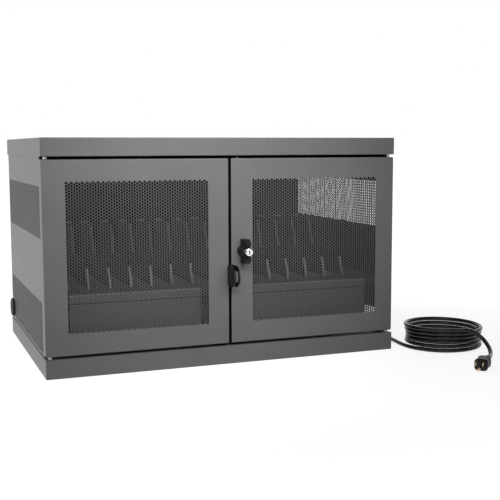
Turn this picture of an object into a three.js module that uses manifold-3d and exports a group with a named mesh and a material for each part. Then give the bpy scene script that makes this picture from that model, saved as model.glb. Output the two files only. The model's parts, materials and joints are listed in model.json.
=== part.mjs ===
// A desk-top charging cabinet for laptops: a sheet-steel case with two perforated doors, slots for
// sixteen machines over a bay for their adapters, and a supply cord that lies coiled beside it.
// Millimetres; X runs to the right, Y to the back, Z up. The origin is the middle of the underside.
import * as THREE from 'three';
import { mergeVertices } from 'three/addons/utils/BufferGeometryUtils.js';
import Module from 'manifold-3d';

const wasm = await Module();
wasm.setup();

// Case
const CASE_WIDTH = 700;
const CASE_DEPTH = 476;
const CASE_HEIGHT = 430;
const CAP_HEIGHT = 33;
const PLINTH_HEIGHT = 35;
const SHEET = 1.5;
const SHELL_INSET = 2;
const POST_SIZE = 20;
const SEAT = 0.3;
const WELD_DISTANCE = 1e-4;

// Doors
const DOOR_THICKNESS = 24;
const DOOR_SHEET = 1.2;
const DOOR_LIP = 15;
const DOOR_FRONT_INSET = 1.5;
const DOOR_SIDE_INSET = 1.5;
const DOOR_TOP_GAP = 5.5;
const DOOR_BOTTOM_GAP = 5;
const DOOR_MEETING_GAP = 5;
const DOOR_BACK_GAP = 3;
const HINGE_INSET = 8;
const HINGE_PIN_RADIUS = 3;
const HINGE_COLLAR_RADIUS = 5;
const HINGE_PIN_REACH = 14;
const TURNING_CLEARANCE = 0.6;

// Perforated fields: coarse diamonds stand for the punched holes, at about the same open share
const WINDOW_HINGE_MARGIN = 39.5;
const WINDOW_MEETING_MARGIN = 42.5;
const WINDOW_TOP_MARGIN = 40;
const WINDOW_BOTTOM_MARGIN = 41;
const VENT_HEIGHT = 97;
const UPPER_VENT_FLOOR = 248;
const LOWER_VENT_FLOOR = 37;
const VENT_FRONT_MARGIN = 8;
const VENT_BACK_MARGIN = 12;
const DIAMOND_PITCH = 33;
const DIAMOND_WEB = 4;

// Inside
const SHELF_TOP = 143;
const SHELF_LIP = 13;
const SHELF_BACK_GAP = 84;
const HANGER_DROP = 65;
const HANGER_LEDGE = 20;
const SLOT_COUNT = 16;
const END_SLOT_WIDTH = 56;
const DIVIDER_THICKNESS = 2;
const DIVIDER_FRONT_SETBACK = 76;
const DIVIDER_LOW_HEIGHT = 50;
const DIVIDER_TALL_HEIGHT = 108;
const DIVIDER_STEP = 150;
const DIVIDER_LEAN = 0.36;
const DIVIDER_ROUND = 12;
const COVER_WIDTH = 250;
const COVER_FLOOR_GAP = 15;
const COVER_STRIP = 13;
const COVER_JOGGLE = 1;
const COVER_HOOK = 12;
const OUTLET_COUNT = 8;
const OUTLET_FACE = [24, 30, 2];
const STRIP_SECTION = [42, 44];
const STRIP_END = 34;
const STRIP_LINK = 77;
const SUPPLY_LINK = 24;
const ROCKER_SIZE = [20, 9, 14];
const ROCKER_CLEARANCE = 1.2;
const ROCKER_PROUD = 3;

// Lock, hasp and locking rods, all on the doors' meeting edge
const LOCK_INSET = 22.5;
const LOCK_HEIGHT = 217;
const ESCUTCHEON_RADIUS = 11;
const ESCUTCHEON_THICKNESS = 3;
const KNOB_HEIGHT = 46;
const KNOB_PROUD = 35;
const KNOB_THICKNESS = 11;
const KNOB_CHAMFER = 11;
const HUB_RADIUS = 9.6;
const LOCK_PLUG_RADIUS = 7;
const LOCK_PLUG_DEPTH = 12;
const LOCK_PLUG_PROUD = 3;
const KEYWAY = [1.8, 1.6, 8];
const SPINDLE_RADIUS = 5;
const CAM_LENGTH = 40;
const CAM_WIDTH = 13;
const CAM_THICKNESS = 2.5;
const CAM_SLEEVE_RADIUS = 6.8;
const CRANK_RADIUS = 14;
const ROD_RADIUS = 3.5;
const ROD_INSET = 17.5;
const ROD_BACKSET = 16.5;
const ROD_START = 18;
const ROD_END_GAP = 1.5;
const ROD_THROW = 12;
const ROD_LIP_GAP = 1;
const GUIDE_SIZE = [16, 14];
const GUIDE_OFFSET = 30;
const HASP_THICKNESS = 2.5;
const HASP_PROUD = 41;
const HASP_HEIGHT_LEFT = 39;
const HASP_HEIGHT_RIGHT = 40;
const HASP_MIDDLE = 171;
const HASP_EDGE = 0.5;
const HASP_HOLE_RADIUS = 5.5;
const HASP_HOLE_PROUD = 24;

// Supply cord
const PORT_BACKSET = 24;
const PORT_HEIGHT = 61;
const PORT_FLANGE_RADIUS = 20;
const PORT_FLANGE_THICKNESS = 6;
const PORT_FLANGE_BEVEL = 1;
const PORT_NECK_RADIUS = 15;
const PORT_NECK_DEPTH = 10;
const RELIEF_LENGTH = 30;
const RELIEF_ROOT_RADIUS = 8;
const RELIEF_TIP_RADIUS = 5.2;
const CORD_RADIUS = 4.1;
const CORD_FLOOR = 4.3;
const COIL_CENTRE = [467, -246];
const COIL_RADIUS = 76;
const COIL_RISE = 8.8;
const COIL_START = -150;
const COIL_END = -106;
const COIL_WHOLE_TURNS = 5;
const COIL_STEPS = 24;
const COIL_SIDES = 6;
const CORD_SIDES = 10;
const CORD_STEP = 20;
const PLUG_ENTRY = [454, -422.5, 12.4];
const PLUG_HEADING = [-0.725, -0.688];
const PLUG_RELIEF_LENGTH = 28;
const PLUG_BODY = [38, 25, 23];
const PLUG_BEVEL = 6;
const BLADE_SIZE = [17.5, 1.5, 6.3];
const BLADE_SPACING = 12.7;
const GROUND_LENGTH = 20.6;
const GROUND_RADIUS = 2.4;
const GROUND_OFFSET = 8;
const BLADE_OFFSET = 3.9;
const ROUND_SIDES = 16;

// Places that follow from the sizes above
const halfWidth = CASE_WIDTH / 2;
const halfDepth = CASE_DEPTH / 2;
const ceiling = CASE_HEIGHT - SHEET;
const capFloor = CASE_HEIGHT - CAP_HEIGHT;
const sideFace = halfWidth - SHELL_INSET;
const sideInner = sideFace - SHEET;
const backFace = halfDepth - SHELL_INSET;
const backInner = backFace - SHEET;
const doorFace = -halfDepth + DOOR_FRONT_INSET;
const doorBack = doorFace + DOOR_THICKNESS;
const doorOuter = halfWidth - DOOR_SIDE_INSET;
const doorInner = DOOR_MEETING_GAP / 2;
const doorTop = capFloor - DOOR_TOP_GAP;
const doorBottom = PLINTH_HEIGHT + DOOR_BOTTOM_GAP;
const shellFront = doorBack + DOOR_BACK_GAP;
const hingeX = doorOuter - HINGE_INSET;
const hingeY = doorFace + HINGE_INSET;
const lockX = doorInner + LOCK_INSET;
const rodX = doorInner + ROD_INSET;
const rodY = doorFace + ROD_BACKSET;
const portY = backFace - PORT_BACKSET;
const shelfFront = shellFront + SHEET;
const shelfBack = backInner - SHELF_BACK_GAP;
const coverMiddle = (doorInner + doorOuter) / 2;
const slotPitch = (sideInner - END_SLOT_WIDTH) / (SLOT_COUNT / 2 - 1);

const finishes = {
  graphite: new THREE.MeshStandardMaterial({ color: 0x6c6c6f, roughness: 0.55, metalness: 0.35 }),
  inner_steel: new THREE.MeshStandardMaterial({ color: 0x5a5a5d, roughness: 0.6, metalness: 0.35 }),
  black_plastic: new THREE.MeshStandardMaterial({ color: 0x141414, roughness: 0.45, metalness: 0 }),
  black_steel: new THREE.MeshStandardMaterial({ color: 0x18181a, roughness: 0.4, metalness: 0.5 }),
  chrome: new THREE.MeshStandardMaterial({ color: 0xe6e6e6, roughness: 0.12, metalness: 1 }),
  zinc: new THREE.MeshStandardMaterial({ color: 0xb4b6b8, roughness: 0.35, metalness: 0.9 }),
  brass: new THREE.MeshStandardMaterial({ color: 0xb9975a, roughness: 0.3, metalness: 1 }),
  cord_jacket: new THREE.MeshStandardMaterial({ color: 0x121212, roughness: 0.38, metalness: 0 }),
};

const cabinet = new THREE.Group();

function place(name, geometry, finish, parent = cabinet) {
  const mesh = new THREE.Mesh(geometry, finishes[finish]);
  mesh.name = name;
  parent.add(mesh);
  return mesh;
}

// Joining and cutting
function solidOf(geometry) {
  const bare = geometry.clone();
  bare.deleteAttribute('normal');
  bare.deleteAttribute('uv');
  const welded = mergeVertices(bare, WELD_DISTANCE);
  const mesh = new wasm.Mesh({
    numProp: 3,
    vertProperties: new Float32Array(welded.attributes.position.array),
    triVerts: new Uint32Array(welded.index.array),
  });
  return new wasm.Manifold(mesh);
}

function geometryOf(solid) {
  const mesh = solid.getMesh();
  const geometry = new THREE.BufferGeometry();
  geometry.setAttribute('position', new THREE.BufferAttribute(mesh.vertProperties, 3));
  geometry.setIndex(new THREE.BufferAttribute(mesh.triVerts, 1));
  geometry.computeVertexNormals();
  return geometry;
}

function join(first, ...others) {
  return geometryOf(others.reduce((sum, other) => sum.add(solidOf(other)), solidOf(first)));
}

function cut(body, ...tools) {
  return geometryOf(tools.reduce((rest, tool) => rest.subtract(solidOf(tool)), solidOf(body)));
}

// Basic shapes
function block([x0, x1], [y0, y1], [z0, z1]) {
  const geometry = new THREE.BoxGeometry(Math.abs(x1 - x0), Math.abs(y1 - y0), Math.abs(z1 - z0));
  return geometry.translate((x0 + x1) / 2, (y0 + y1) / 2, (z0 + z1) / 2);
}

// A flat shape with holes; its outer points are put in anticlockwise order
function outline(points, holes = []) {
  const corners = points.map(([u, v]) => new THREE.Vector2(u, v));
  if (THREE.ShapeUtils.isClockWise(corners)) corners.reverse();
  const shape = new THREE.Shape(corners);
  shape.holes = holes.map((hole) => new THREE.Path(hole.map(([u, v]) => new THREE.Vector2(u, v))));
  return shape;
}

function rectangle(u0, u1, v0, v1) {
  return [[u0, v0], [u1, v0], [u1, v1], [u0, v1]];
}

const towards = {
  x: new THREE.Matrix4().makeBasis(axis(0, 1, 0), axis(0, 0, 1), axis(1, 0, 0)),
  y: new THREE.Matrix4().makeBasis(axis(-1, 0, 0), axis(0, 0, 1), axis(0, 1, 0)),
  z: new THREE.Matrix4(),
};

function axis(x, y, z) {
  return new THREE.Vector3(x, y, z);
}

// Extrudes an outline from one place to another along an axis; outlines along Y hold (-X, Z)
function extrude(shape, direction, from, to) {
  const settings = { depth: to - from, bevelEnabled: false, curveSegments: 6 };
  const geometry = new THREE.ExtrudeGeometry(shape, settings).translate(0, 0, from);
  return geometry.applyMatrix4(towards[direction]);
}

// A round bar from one place to another along an axis, with its ends' radii
function bar(direction, [u, v], from, to, radius, endRadius = radius) {
  const length = to - from;
  const geometry = new THREE.CylinderGeometry(endRadius, radius, length, ROUND_SIDES);
  geometry.rotateX(Math.PI / 2).translate(0, 0, (from + to) / 2);
  geometry.applyMatrix4(towards[direction]);
  const shift = { x: [0, u, v], y: [u, 0, v], z: [u, v, 0] };
  return geometry.translate(...shift[direction]);
}

// A grid of diamond holes that fills a field, as many as fit the pitch
function diamonds(u0, u1, v0, v1) {
  const columns = Math.max(1, Math.round((u1 - u0) / DIAMOND_PITCH));
  const rows = Math.max(1, Math.round((v1 - v0) / DIAMOND_PITCH));
  const wide = (u1 - u0) / columns;
  const tall = (v1 - v0) / rows;
  const holes = [];
  for (let column = 0; column < columns; column += 1) {
    for (let row = 0; row < rows; row += 1) {
      const u = u0 + (column + 0.5) * wide;
      const v = v0 + (row + 0.5) * tall;
      const du = (wide - DIAMOND_WEB) / 2;
      const dv = (tall - DIAMOND_WEB) / 2;
      holes.push([[u + du, v], [u, v + dv], [u - du, v], [u, v - dv]]);
    }
  }
  return holes;
}

// The case: plinth tray and its floor, cap, sides, back and front posts
function addCase() {
  const tray = block([-halfWidth, halfWidth], [-halfDepth, halfDepth], [0, PLINTH_HEIGHT]);
  const trayInside = block(
    [-halfWidth + SHEET, halfWidth - SHEET],
    [-halfDepth + SHEET, halfDepth - SHEET],
    [SHEET, PLINTH_HEIGHT + SHEET],
  );
  place('plinth_tray', cut(tray, trayInside), 'graphite');

  const floorX = halfWidth - SHEET - SEAT;
  const floorY = halfDepth - SHEET - SEAT;
  const rodWell = ROD_RADIUS + TURNING_CLEARANCE;
  place('floor_panel', cut(
    block([-floorX, floorX], [-floorY, floorY], [PLINTH_HEIGHT - SHEET, PLINTH_HEIGHT]),
    bar('z', [rodX, rodY], 0, PLINTH_HEIGHT + SHEET, rodWell),
  ), 'graphite');

  const cap = block([-halfWidth, halfWidth], [-halfDepth, halfDepth], [capFloor, CASE_HEIGHT]);
  const capInside = block(
    [-halfWidth + SHEET, halfWidth - SHEET],
    [-halfDepth + SHEET, halfDepth - SHEET],
    [capFloor - SHEET, ceiling],
  );
  const capLip = block(
    [-halfWidth + SHEET / 2, halfWidth - SHEET / 2],
    [-halfDepth + SHEET / 2, rodY - ROD_RADIUS - ROD_LIP_GAP],
    [capFloor, capFloor + SHEET],
  );
  place('top_cap', join(cut(cap, capInside), capLip), 'graphite');

  const wallFloor = PLINTH_HEIGHT + SEAT;
  const wallTop = ceiling - SEAT;
  const vent = (floor) => diamonds(
    shellFront + VENT_FRONT_MARGIN,
    backFace - VENT_BACK_MARGIN,
    floor,
    floor + VENT_HEIGHT,
  );
  const portClear = PORT_NECK_RADIUS + SEAT;
  for (const [side, sign] of [['left', -1], ['right', 1]]) {
    const holes = [...vent(LOWER_VENT_FLOOR + SHEET), ...vent(UPPER_VENT_FLOOR)];
    const wall = rectangle(shellFront, backFace, wallFloor, wallTop);
    const from = sign < 0 ? -sideFace : sideInner;
    const panel = extrude(outline(wall, holes), 'x', from, from + SHEET);
    const doubler = block(
      [from, from + SHEET],
      [portY - PORT_FLANGE_RADIUS, backFace],
      [wallFloor, PORT_HEIGHT + PORT_FLANGE_RADIUS],
    );
    const port = bar('x', [portY, PORT_HEIGHT], from - SHEET, from + SHEET + SHEET, portClear);
    place(`${side}_side_panel`, cut(join(panel, doubler), port), 'graphite');

    const postOuter = sideInner - SEAT;
    const section = [
      [postOuter, shellFront],
      [postOuter, shellFront + POST_SIZE],
      [postOuter - SHEET, shellFront + POST_SIZE],
      [postOuter - SHEET, shellFront + SHEET],
      [postOuter - POST_SIZE, shellFront + SHEET],
      [postOuter - POST_SIZE, shellFront],
    ].map(([x, y]) => [sign * x, y]);
    place(`${side}_front_post`, extrude(outline(section), 'z', wallFloor, wallTop), 'graphite');
  }

  const backX = sideInner - SEAT;
  place('back_panel', block([-backX, backX], [backInner, backFace], [wallFloor, wallTop]), 'graphite');
}

// The shelf on its two hangers, and the covers that hook over its front lip
function addShelf() {
  const wallX = sideInner - SEAT;
  const notchX = wallX - POST_SIZE - SEAT;
  const notchY = shellFront + POST_SIZE + SEAT;
  const plan = [
    [-notchX, shelfFront + SEAT],
    [notchX, shelfFront + SEAT],
    [notchX, notchY],
    [wallX, notchY],
    [wallX, shelfBack],
    [-wallX, shelfBack],
    [-wallX, notchY],
    [-notchX, notchY],
  ];
  const plate = extrude(outline(plan), 'z', SHELF_TOP - SHEET, SHELF_TOP);
  const lip = block(
    [-notchX, notchX],
    [shelfFront + SEAT, shelfFront + SEAT + SHEET],
    [SHELF_TOP - SHELF_LIP, SHELF_TOP],
  );
  place('device_shelf', join(plate, lip), 'inner_steel');

  const ledgeTop = SHELF_TOP - SHEET - SEAT;
  for (const [side, sign] of [['left', -1], ['right', 1]]) {
    const section = [
      [wallX, ledgeTop],
      [wallX - HANGER_LEDGE, ledgeTop],
      [wallX - HANGER_LEDGE, ledgeTop - SHEET],
      [wallX - SHEET, ledgeTop - SHEET],
      [wallX - SHEET, ledgeTop - HANGER_DROP],
      [wallX, ledgeTop - HANGER_DROP],
    ].map(([x, z]) => [-sign * x, z]);
    const hanger = extrude(outline(section), 'y', notchY, shelfBack);
    place(`${side}_shelf_hanger`, hanger, 'inner_steel');

    const coverFace = shelfFront - SHEET;
    const coverTop = SHELF_TOP + SEAT + SHEET;
    const stripFloor = SHELF_TOP - COVER_STRIP;
    const profile = [
      [coverFace, PLINTH_HEIGHT + COVER_FLOOR_GAP],
      [shelfFront, PLINTH_HEIGHT + COVER_FLOOR_GAP],
      [shelfFront, SHELF_TOP + SEAT],
      [shelfFront + COVER_HOOK, SHELF_TOP + SEAT],
      [shelfFront + COVER_HOOK, coverTop],
      [coverFace + COVER_JOGGLE, coverTop],
      [coverFace + COVER_JOGGLE, stripFloor],
      [coverFace, stripFloor - COVER_JOGGLE],
    ];
    const middle = sign * coverMiddle;
    const cover = extrude(outline(profile), 'x', middle - COVER_WIDTH / 2, middle + COVER_WIDTH / 2);
    place(`${side}_adapter_cover`, cover, 'inner_steel');
  }
}

// Upright dividers between the slots: low in front, stepped up to a taller back half
function addDividers() {
  const floor = SHELF_TOP + SEAT;
  const front = shelfFront + DIVIDER_FRONT_SETBACK;
  const low = floor + DIVIDER_LOW_HEIGHT;
  const tall = floor + DIVIDER_TALL_HEIGHT;
  const lowLean = DIVIDER_LEAN * DIVIDER_LOW_HEIGHT;
  const stepLean = DIVIDER_LEAN * (DIVIDER_TALL_HEIGHT - DIVIDER_LOW_HEIGHT);
  const step = front + DIVIDER_STEP;
  const shape = new THREE.Shape();
  shape.moveTo(front, floor);
  shape.lineTo(front + lowLean - DIVIDER_LEAN * DIVIDER_ROUND, low - DIVIDER_ROUND);
  shape.quadraticCurveTo(front + lowLean, low, front + lowLean + DIVIDER_ROUND, low);
  shape.lineTo(step, low);
  shape.lineTo(step + stepLean - DIVIDER_LEAN * DIVIDER_ROUND, tall - DIVIDER_ROUND);
  shape.quadraticCurveTo(step + stepLean, tall, step + stepLean + DIVIDER_ROUND, tall);
  shape.lineTo(shelfBack, tall);
  shape.lineTo(shelfBack, floor);
  for (let index = 1; index < SLOT_COUNT; index += 1) {
    const divider = extrude(shape, 'x', -DIVIDER_THICKNESS / 2, DIVIDER_THICKNESS / 2);
    const mesh = place(`divider_${String(index).padStart(2, '0')}`, divider, 'inner_steel');
    mesh.position.x = (index - SLOT_COUNT / 2) * slotPitch;
  }
}

// Two outlet strips on the back wall of the adapter bay, each with a rocker switch at its inner end,
// and the leads that join them to each other and to the cord's gland
function addOutlets() {
  const [stripDepth, stripHeight] = STRIP_SECTION;
  const [faceWide, faceTall, faceProud] = OUTLET_FACE;
  const [rockerWide, rockerDeep, rockerTall] = ROCKER_SIZE;
  const stripBack = backInner - SEAT;
  const stripFront = stripBack - stripDepth;
  const middle = PORT_HEIGHT;
  const floor = middle - stripHeight / 2;
  const inner = STRIP_LINK / 2;
  const length = sideInner - PORT_NECK_DEPTH - SUPPLY_LINK - inner;
  const outletPitch = (length - STRIP_END) / OUTLET_COUNT;
  const wire = (from, to) => bar('x', [portY, PORT_HEIGHT], from + SEAT, to - SEAT, CORD_RADIUS);
  place('strip_link_lead', wire(-inner, inner), 'cord_jacket');
  place('supply_link_lead', wire(inner + length, sideInner - PORT_NECK_DEPTH), 'cord_jacket');
  for (const [side, sign] of [['left', -1], ['right', 1]]) {
    const body = block(
      [sign * inner, sign * (inner + length)],
      [stripFront, stripBack],
      [floor, floor + stripHeight],
    );
    const faces = [];
    for (let index = 0; index < OUTLET_COUNT; index += 1) {
      const x = sign * (inner + STRIP_END + (index + 0.5) * outletPitch);
      faces.push(block(
        [x - faceWide / 2, x + faceWide / 2],
        [stripFront - faceProud, stripFront + faceProud],
        [middle - faceTall / 2, middle + faceTall / 2],
      ));
    }
    const rockerX = sign * (inner + STRIP_END / 2);
    const wellX = rockerWide / 2 + SEAT;
    const wellZ = rockerTall / 2 + ROCKER_CLEARANCE;
    const well = block(
      [rockerX - wellX, rockerX + wellX],
      [stripFront - faceProud, stripFront - ROCKER_PROUD + rockerDeep + ROCKER_CLEARANCE],
      [middle - wellZ, middle + wellZ],
    );
    place(`${side}_outlet_strip`, cut(join(body, ...faces), well), 'black_plastic');
    const rocker = block(
      [-rockerWide / 2, rockerWide / 2],
      [-ROCKER_PROUD, rockerDeep - ROCKER_PROUD],
      [-rockerTall / 2, rockerTall / 2],
    );
    place(`${side}_rocker_switch`, rocker, 'black_plastic').position.set(rockerX, stripFront, middle);
  }
}

// One door: a pan of thin sheet with a perforated field and a turned-in lip
function doorPan(sign) {
  const u = (x) => -sign * x;
  const face = rectangle(u(doorInner), u(doorOuter), doorBottom, doorTop);
  const field = [
    u(doorInner + WINDOW_MEETING_MARGIN),
    u(doorOuter - WINDOW_HINGE_MARGIN),
  ].sort((a, b) => a - b);
  const holes = diamonds(...field, doorBottom + WINDOW_BOTTOM_MARGIN, doorTop - WINDOW_TOP_MARGIN);
  const skin = extrude(outline(face, holes), 'y', doorFace, doorFace + DOOR_SHEET);
  const ring = (border) => outline(face, [rectangle(
    u(doorInner + border),
    u(doorOuter - border),
    doorBottom + border,
    doorTop - border,
  )]);
  const rim = extrude(ring(DOOR_SHEET), 'y', doorFace, doorBack);
  const lip = extrude(ring(DOOR_LIP), 'y', doorBack - DOOR_SHEET, doorBack);
  const pinHole = HINGE_PIN_RADIUS + TURNING_CLEARANCE;
  const pins = bar('z', [sign * hingeX, hingeY], doorBottom - SHEET, doorTop + SHEET, pinHole);
  return cut(join(skin, rim, lip), pins);
}

function addDoors() {
  place('left_door', doorPan(-1), 'graphite');
  const rodHole = ROD_RADIUS + TURNING_CLEARANCE;
  place('right_door', cut(
    doorPan(1),
    bar('z', [rodX, rodY], doorBottom - SHEET, doorTop + SHEET, rodHole),
    bar('y', [lockX, LOCK_HEIGHT], doorFace - SHEET, doorFace + DOOR_SHEET + SHEET,
      SPINDLE_RADIUS + TURNING_CLEARANCE),
  ), 'graphite');

  for (const [side, sign] of [['left', -1], ['right', 1]]) {
    const at = [sign * hingeX, hingeY];
    const upper = join(
      bar('z', at, doorTop + SEAT, capFloor - SEAT, HINGE_COLLAR_RADIUS),
      bar('z', at, doorTop - HINGE_PIN_REACH, capFloor - SEAT, HINGE_PIN_RADIUS),
    );
    const lower = join(
      bar('z', at, PLINTH_HEIGHT + SEAT, doorBottom - SEAT, HINGE_COLLAR_RADIUS),
      bar('z', at, PLINTH_HEIGHT + SEAT, doorBottom + HINGE_PIN_REACH, HINGE_PIN_RADIUS),
    );
    place(`${side}_upper_hinge_pin`, upper, 'zinc');
    place(`${side}_lower_hinge_pin`, lower, 'zinc');
  }
}

// A half-round tab with a padlock hole, standing out from a door's meeting edge
function addHasp(name, sign, height) {
  const root = doorFace - SEAT;
  const radius = height / 2;
  const shape = new THREE.Shape();
  shape.moveTo(root, HASP_MIDDLE - radius);
  shape.lineTo(root, HASP_MIDDLE + radius);
  shape.lineTo(doorFace - HASP_PROUD + radius, HASP_MIDDLE + radius);
  shape.absarc(doorFace - HASP_PROUD + radius, HASP_MIDDLE, radius, Math.PI / 2, 1.5 * Math.PI);
  const hole = new THREE.Path();
  hole.absarc(doorFace - HASP_HOLE_PROUD, HASP_MIDDLE, HASP_HOLE_RADIUS, 0, 2 * Math.PI);
  shape.holes = [hole];
  const near = doorInner + HASP_EDGE;
  const from = sign < 0 ? -near - HASP_THICKNESS : near;
  place(name, extrude(shape, 'x', from, from + HASP_THICKNESS), 'black_steel');
}

// The wing knob with its key plug, the cam behind the door and the two rods that it throws
function addLock() {
  const at = [lockX, LOCK_HEIGHT];
  const escutcheonFace = doorFace - SEAT - ESCUTCHEON_THICKNESS;
  const spindleClear = SPINDLE_RADIUS + TURNING_CLEARANCE;
  place('lock_escutcheon', cut(
    bar('y', at, escutcheonFace, doorFace - SEAT, ESCUTCHEON_RADIUS),
    bar('y', at, escutcheonFace - SHEET, doorFace + SHEET, spindleClear),
  ), 'black_plastic');

  const knobBack = escutcheonFace - SEAT;
  const knobFront = doorFace - KNOB_PROUD;
  const reach = KNOB_HEIGHT / 2;
  const fin = [
    [knobBack, LOCK_HEIGHT - reach],
    [knobFront + KNOB_CHAMFER, LOCK_HEIGHT - reach],
    [knobFront, LOCK_HEIGHT - reach + KNOB_CHAMFER],
    [knobFront, LOCK_HEIGHT + reach - KNOB_CHAMFER],
    [knobFront + KNOB_CHAMFER, LOCK_HEIGHT + reach],
    [knobBack, LOCK_HEIGHT + reach],
  ];
  const camBack = doorBack + DOOR_SHEET + CAM_THICKNESS;
  const knob = join(
    extrude(outline(fin), 'x', lockX - KNOB_THICKNESS / 2, lockX + KNOB_THICKNESS / 2),
    bar('y', at, knobFront, knobBack, HUB_RADIUS),
    bar('y', at, knobBack - SHEET, camBack + SHEET, SPINDLE_RADIUS),
  );
  const bore = bar('y', at, knobFront - SHEET, knobFront + LOCK_PLUG_DEPTH + SEAT, LOCK_PLUG_RADIUS + SEAT);
  place('wing_knob', cut(knob, bore), 'black_plastic');

  const plugFace = knobFront - LOCK_PLUG_PROUD;
  const [keyWide, keyDeep, keyTall] = KEYWAY;
  place('lock_plug', cut(
    bar('y', at, plugFace, knobFront + LOCK_PLUG_DEPTH, LOCK_PLUG_RADIUS),
    block(
      [lockX - keyWide / 2, lockX + keyWide / 2],
      [plugFace - SHEET, plugFace + keyDeep],
      [LOCK_HEIGHT - keyTall / 2, LOCK_HEIGHT + keyTall / 2],
    ),
  ), 'chrome');

  const crankFront = doorFace + DOOR_SHEET + SHEET;
  const sleeveBore = SPINDLE_RADIUS + SEAT;
  place('lock_cam', cut(
    join(
      bar('y', at, crankFront, camBack, CAM_SLEEVE_RADIUS),
      bar('y', at, crankFront, crankFront + CAM_THICKNESS, CRANK_RADIUS),
      block(
        [lockX - CAM_WIDTH / 2, lockX + CAM_WIDTH / 2],
        [camBack - CAM_THICKNESS, camBack],
        [LOCK_HEIGHT - CAM_LENGTH, LOCK_HEIGHT + CAM_WIDTH / 2],
      ),
    ),
    bar('y', at, crankFront - SHEET, camBack + SHEET, sleeveBore),
  ), 'zinc');

  const upperFrom = LOCK_HEIGHT + ROD_START;
  const lowerTo = LOCK_HEIGHT - ROD_START;
  const rodAt = [rodX, rodY];
  place('upper_lock_rod', bar('z', rodAt, upperFrom, capFloor - ROD_END_GAP, ROD_RADIUS), 'zinc');
  place('lower_lock_rod', bar('z', rodAt, PLINTH_HEIGHT + ROD_END_GAP, lowerTo, ROD_RADIUS), 'zinc');
  const [guideWide, guideTall] = GUIDE_SIZE;
  const guideFront = doorFace + DOOR_SHEET + SEAT;
  const guideBack = rodY + ROD_RADIUS + SEAT;
  for (const [level, middle] of [
    ['upper', upperFrom + ROD_THROW + GUIDE_OFFSET],
    ['lower', lowerTo - ROD_THROW - GUIDE_OFFSET],
  ]) {
    const guide = block(
      [rodX - guideWide / 2, rodX + guideWide / 2],
      [guideFront, guideBack + SHEET],
      [middle - guideTall / 2, middle + guideTall / 2],
    );
    const guideBore = bar('z', rodAt, middle - guideTall, middle + guideTall, ROD_RADIUS + SEAT);
    place(`${level}_rod_guide`, cut(guide, guideBore), 'zinc');
  }
}

// Cable ports low on both sides: a blank cap on the left, the cord's gland on the right
function addPorts() {
  const at = [portY, PORT_HEIGHT];
  const flangeOuter = sideFace + SEAT + PORT_FLANGE_THICKNESS;
  const neckEnd = sideInner - PORT_NECK_DEPTH;
  place('left_port_cap', join(
    bar('x', at, -flangeOuter, -sideFace - SEAT, PORT_FLANGE_RADIUS - PORT_FLANGE_BEVEL, PORT_FLANGE_RADIUS),
    bar('x', at, -sideFace - SEAT - SHEET, -neckEnd, PORT_NECK_RADIUS),
  ), 'black_plastic');
  place('cord_gland', join(
    bar('x', at, sideFace + SEAT, flangeOuter, PORT_FLANGE_RADIUS, PORT_FLANGE_RADIUS - PORT_FLANGE_BEVEL),
    bar('x', at, neckEnd, sideFace + SEAT + SHEET, PORT_NECK_RADIUS),
    bar('x', at, flangeOuter - SHEET, flangeOuter + RELIEF_LENGTH, RELIEF_ROOT_RADIUS, RELIEF_TIP_RADIUS),
  ), 'black_plastic');
  return axis(flangeOuter + RELIEF_LENGTH + SEAT, portY, PORT_HEIGHT);
}

// The coil: one unbroken tube that winds up on itself, with straight ends one diameter long
function coilPath() {
  const turns = COIL_WHOLE_TURNS + (COIL_END - COIL_START) / 360;
  const steps = Math.round(turns * COIL_STEPS);
  const points = [];
  for (let step = 0; step <= steps; step += 1) {
    const turned = (step / steps) * turns;
    const angle = THREE.MathUtils.degToRad(COIL_START + turned * 360);
    points.push(axis(
      COIL_CENTRE[0] + COIL_RADIUS * Math.cos(angle),
      COIL_CENTRE[1] + COIL_RADIUS * Math.sin(angle),
      CORD_FLOOR + turned * COIL_RISE,
    ));
  }
  const along = (degrees) => {
    const angle = THREE.MathUtils.degToRad(degrees);
    return axis(-Math.sin(angle), Math.cos(angle), 0);
  };
  const first = points[0].clone().addScaledVector(along(COIL_START), -2 * CORD_RADIUS);
  const last = points[points.length - 1].clone().addScaledVector(along(COIL_END), 2 * CORD_RADIUS);
  return { points: [first, ...points, last], startHeading: along(COIL_START), endHeading: along(COIL_END) };
}

// Rings of points round a path, upright to it, closed at both ends
function woundTube(points, startHeading, endHeading) {
  const up = axis(0, 0, 1);
  const positions = [];
  points.forEach((point, index) => {
    let heading = points[Math.min(index + 1, points.length - 1)].clone();
    heading = heading.sub(points[Math.max(index - 1, 0)]).normalize();
    if (index === 0) heading = startHeading;
    if (index === points.length - 1) heading = endHeading;
    const across = up.clone().cross(heading).normalize();
    const rise = heading.clone().cross(across).normalize();
    for (let side = 0; side < COIL_SIDES; side += 1) {
      const angle = (2 * Math.PI * side) / COIL_SIDES;
      const spot = point.clone();
      spot.addScaledVector(across, CORD_RADIUS * Math.cos(angle));
      spot.addScaledVector(rise, CORD_RADIUS * Math.sin(angle));
      positions.push(spot.x, spot.y, spot.z);
    }
  });
  const indices = [];
  for (let ring = 0; ring < points.length - 1; ring += 1) {
    for (let side = 0; side < COIL_SIDES; side += 1) {
      const a = ring * COIL_SIDES + side;
      const b = ring * COIL_SIDES + ((side + 1) % COIL_SIDES);
      indices.push(a, b, a + COIL_SIDES, b, b + COIL_SIDES, a + COIL_SIDES);
    }
  }
  const end = (points.length - 1) * COIL_SIDES;
  for (let side = 1; side < COIL_SIDES - 1; side += 1) {
    indices.push(0, side + 1, side);
    indices.push(end, end + side, end + side + 1);
  }
  const geometry = new THREE.BufferGeometry();
  geometry.setAttribute('position', new THREE.Float32BufferAttribute(positions, 3));
  geometry.setIndex(indices);
  geometry.computeVertexNormals();
  return geometry;
}

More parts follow.
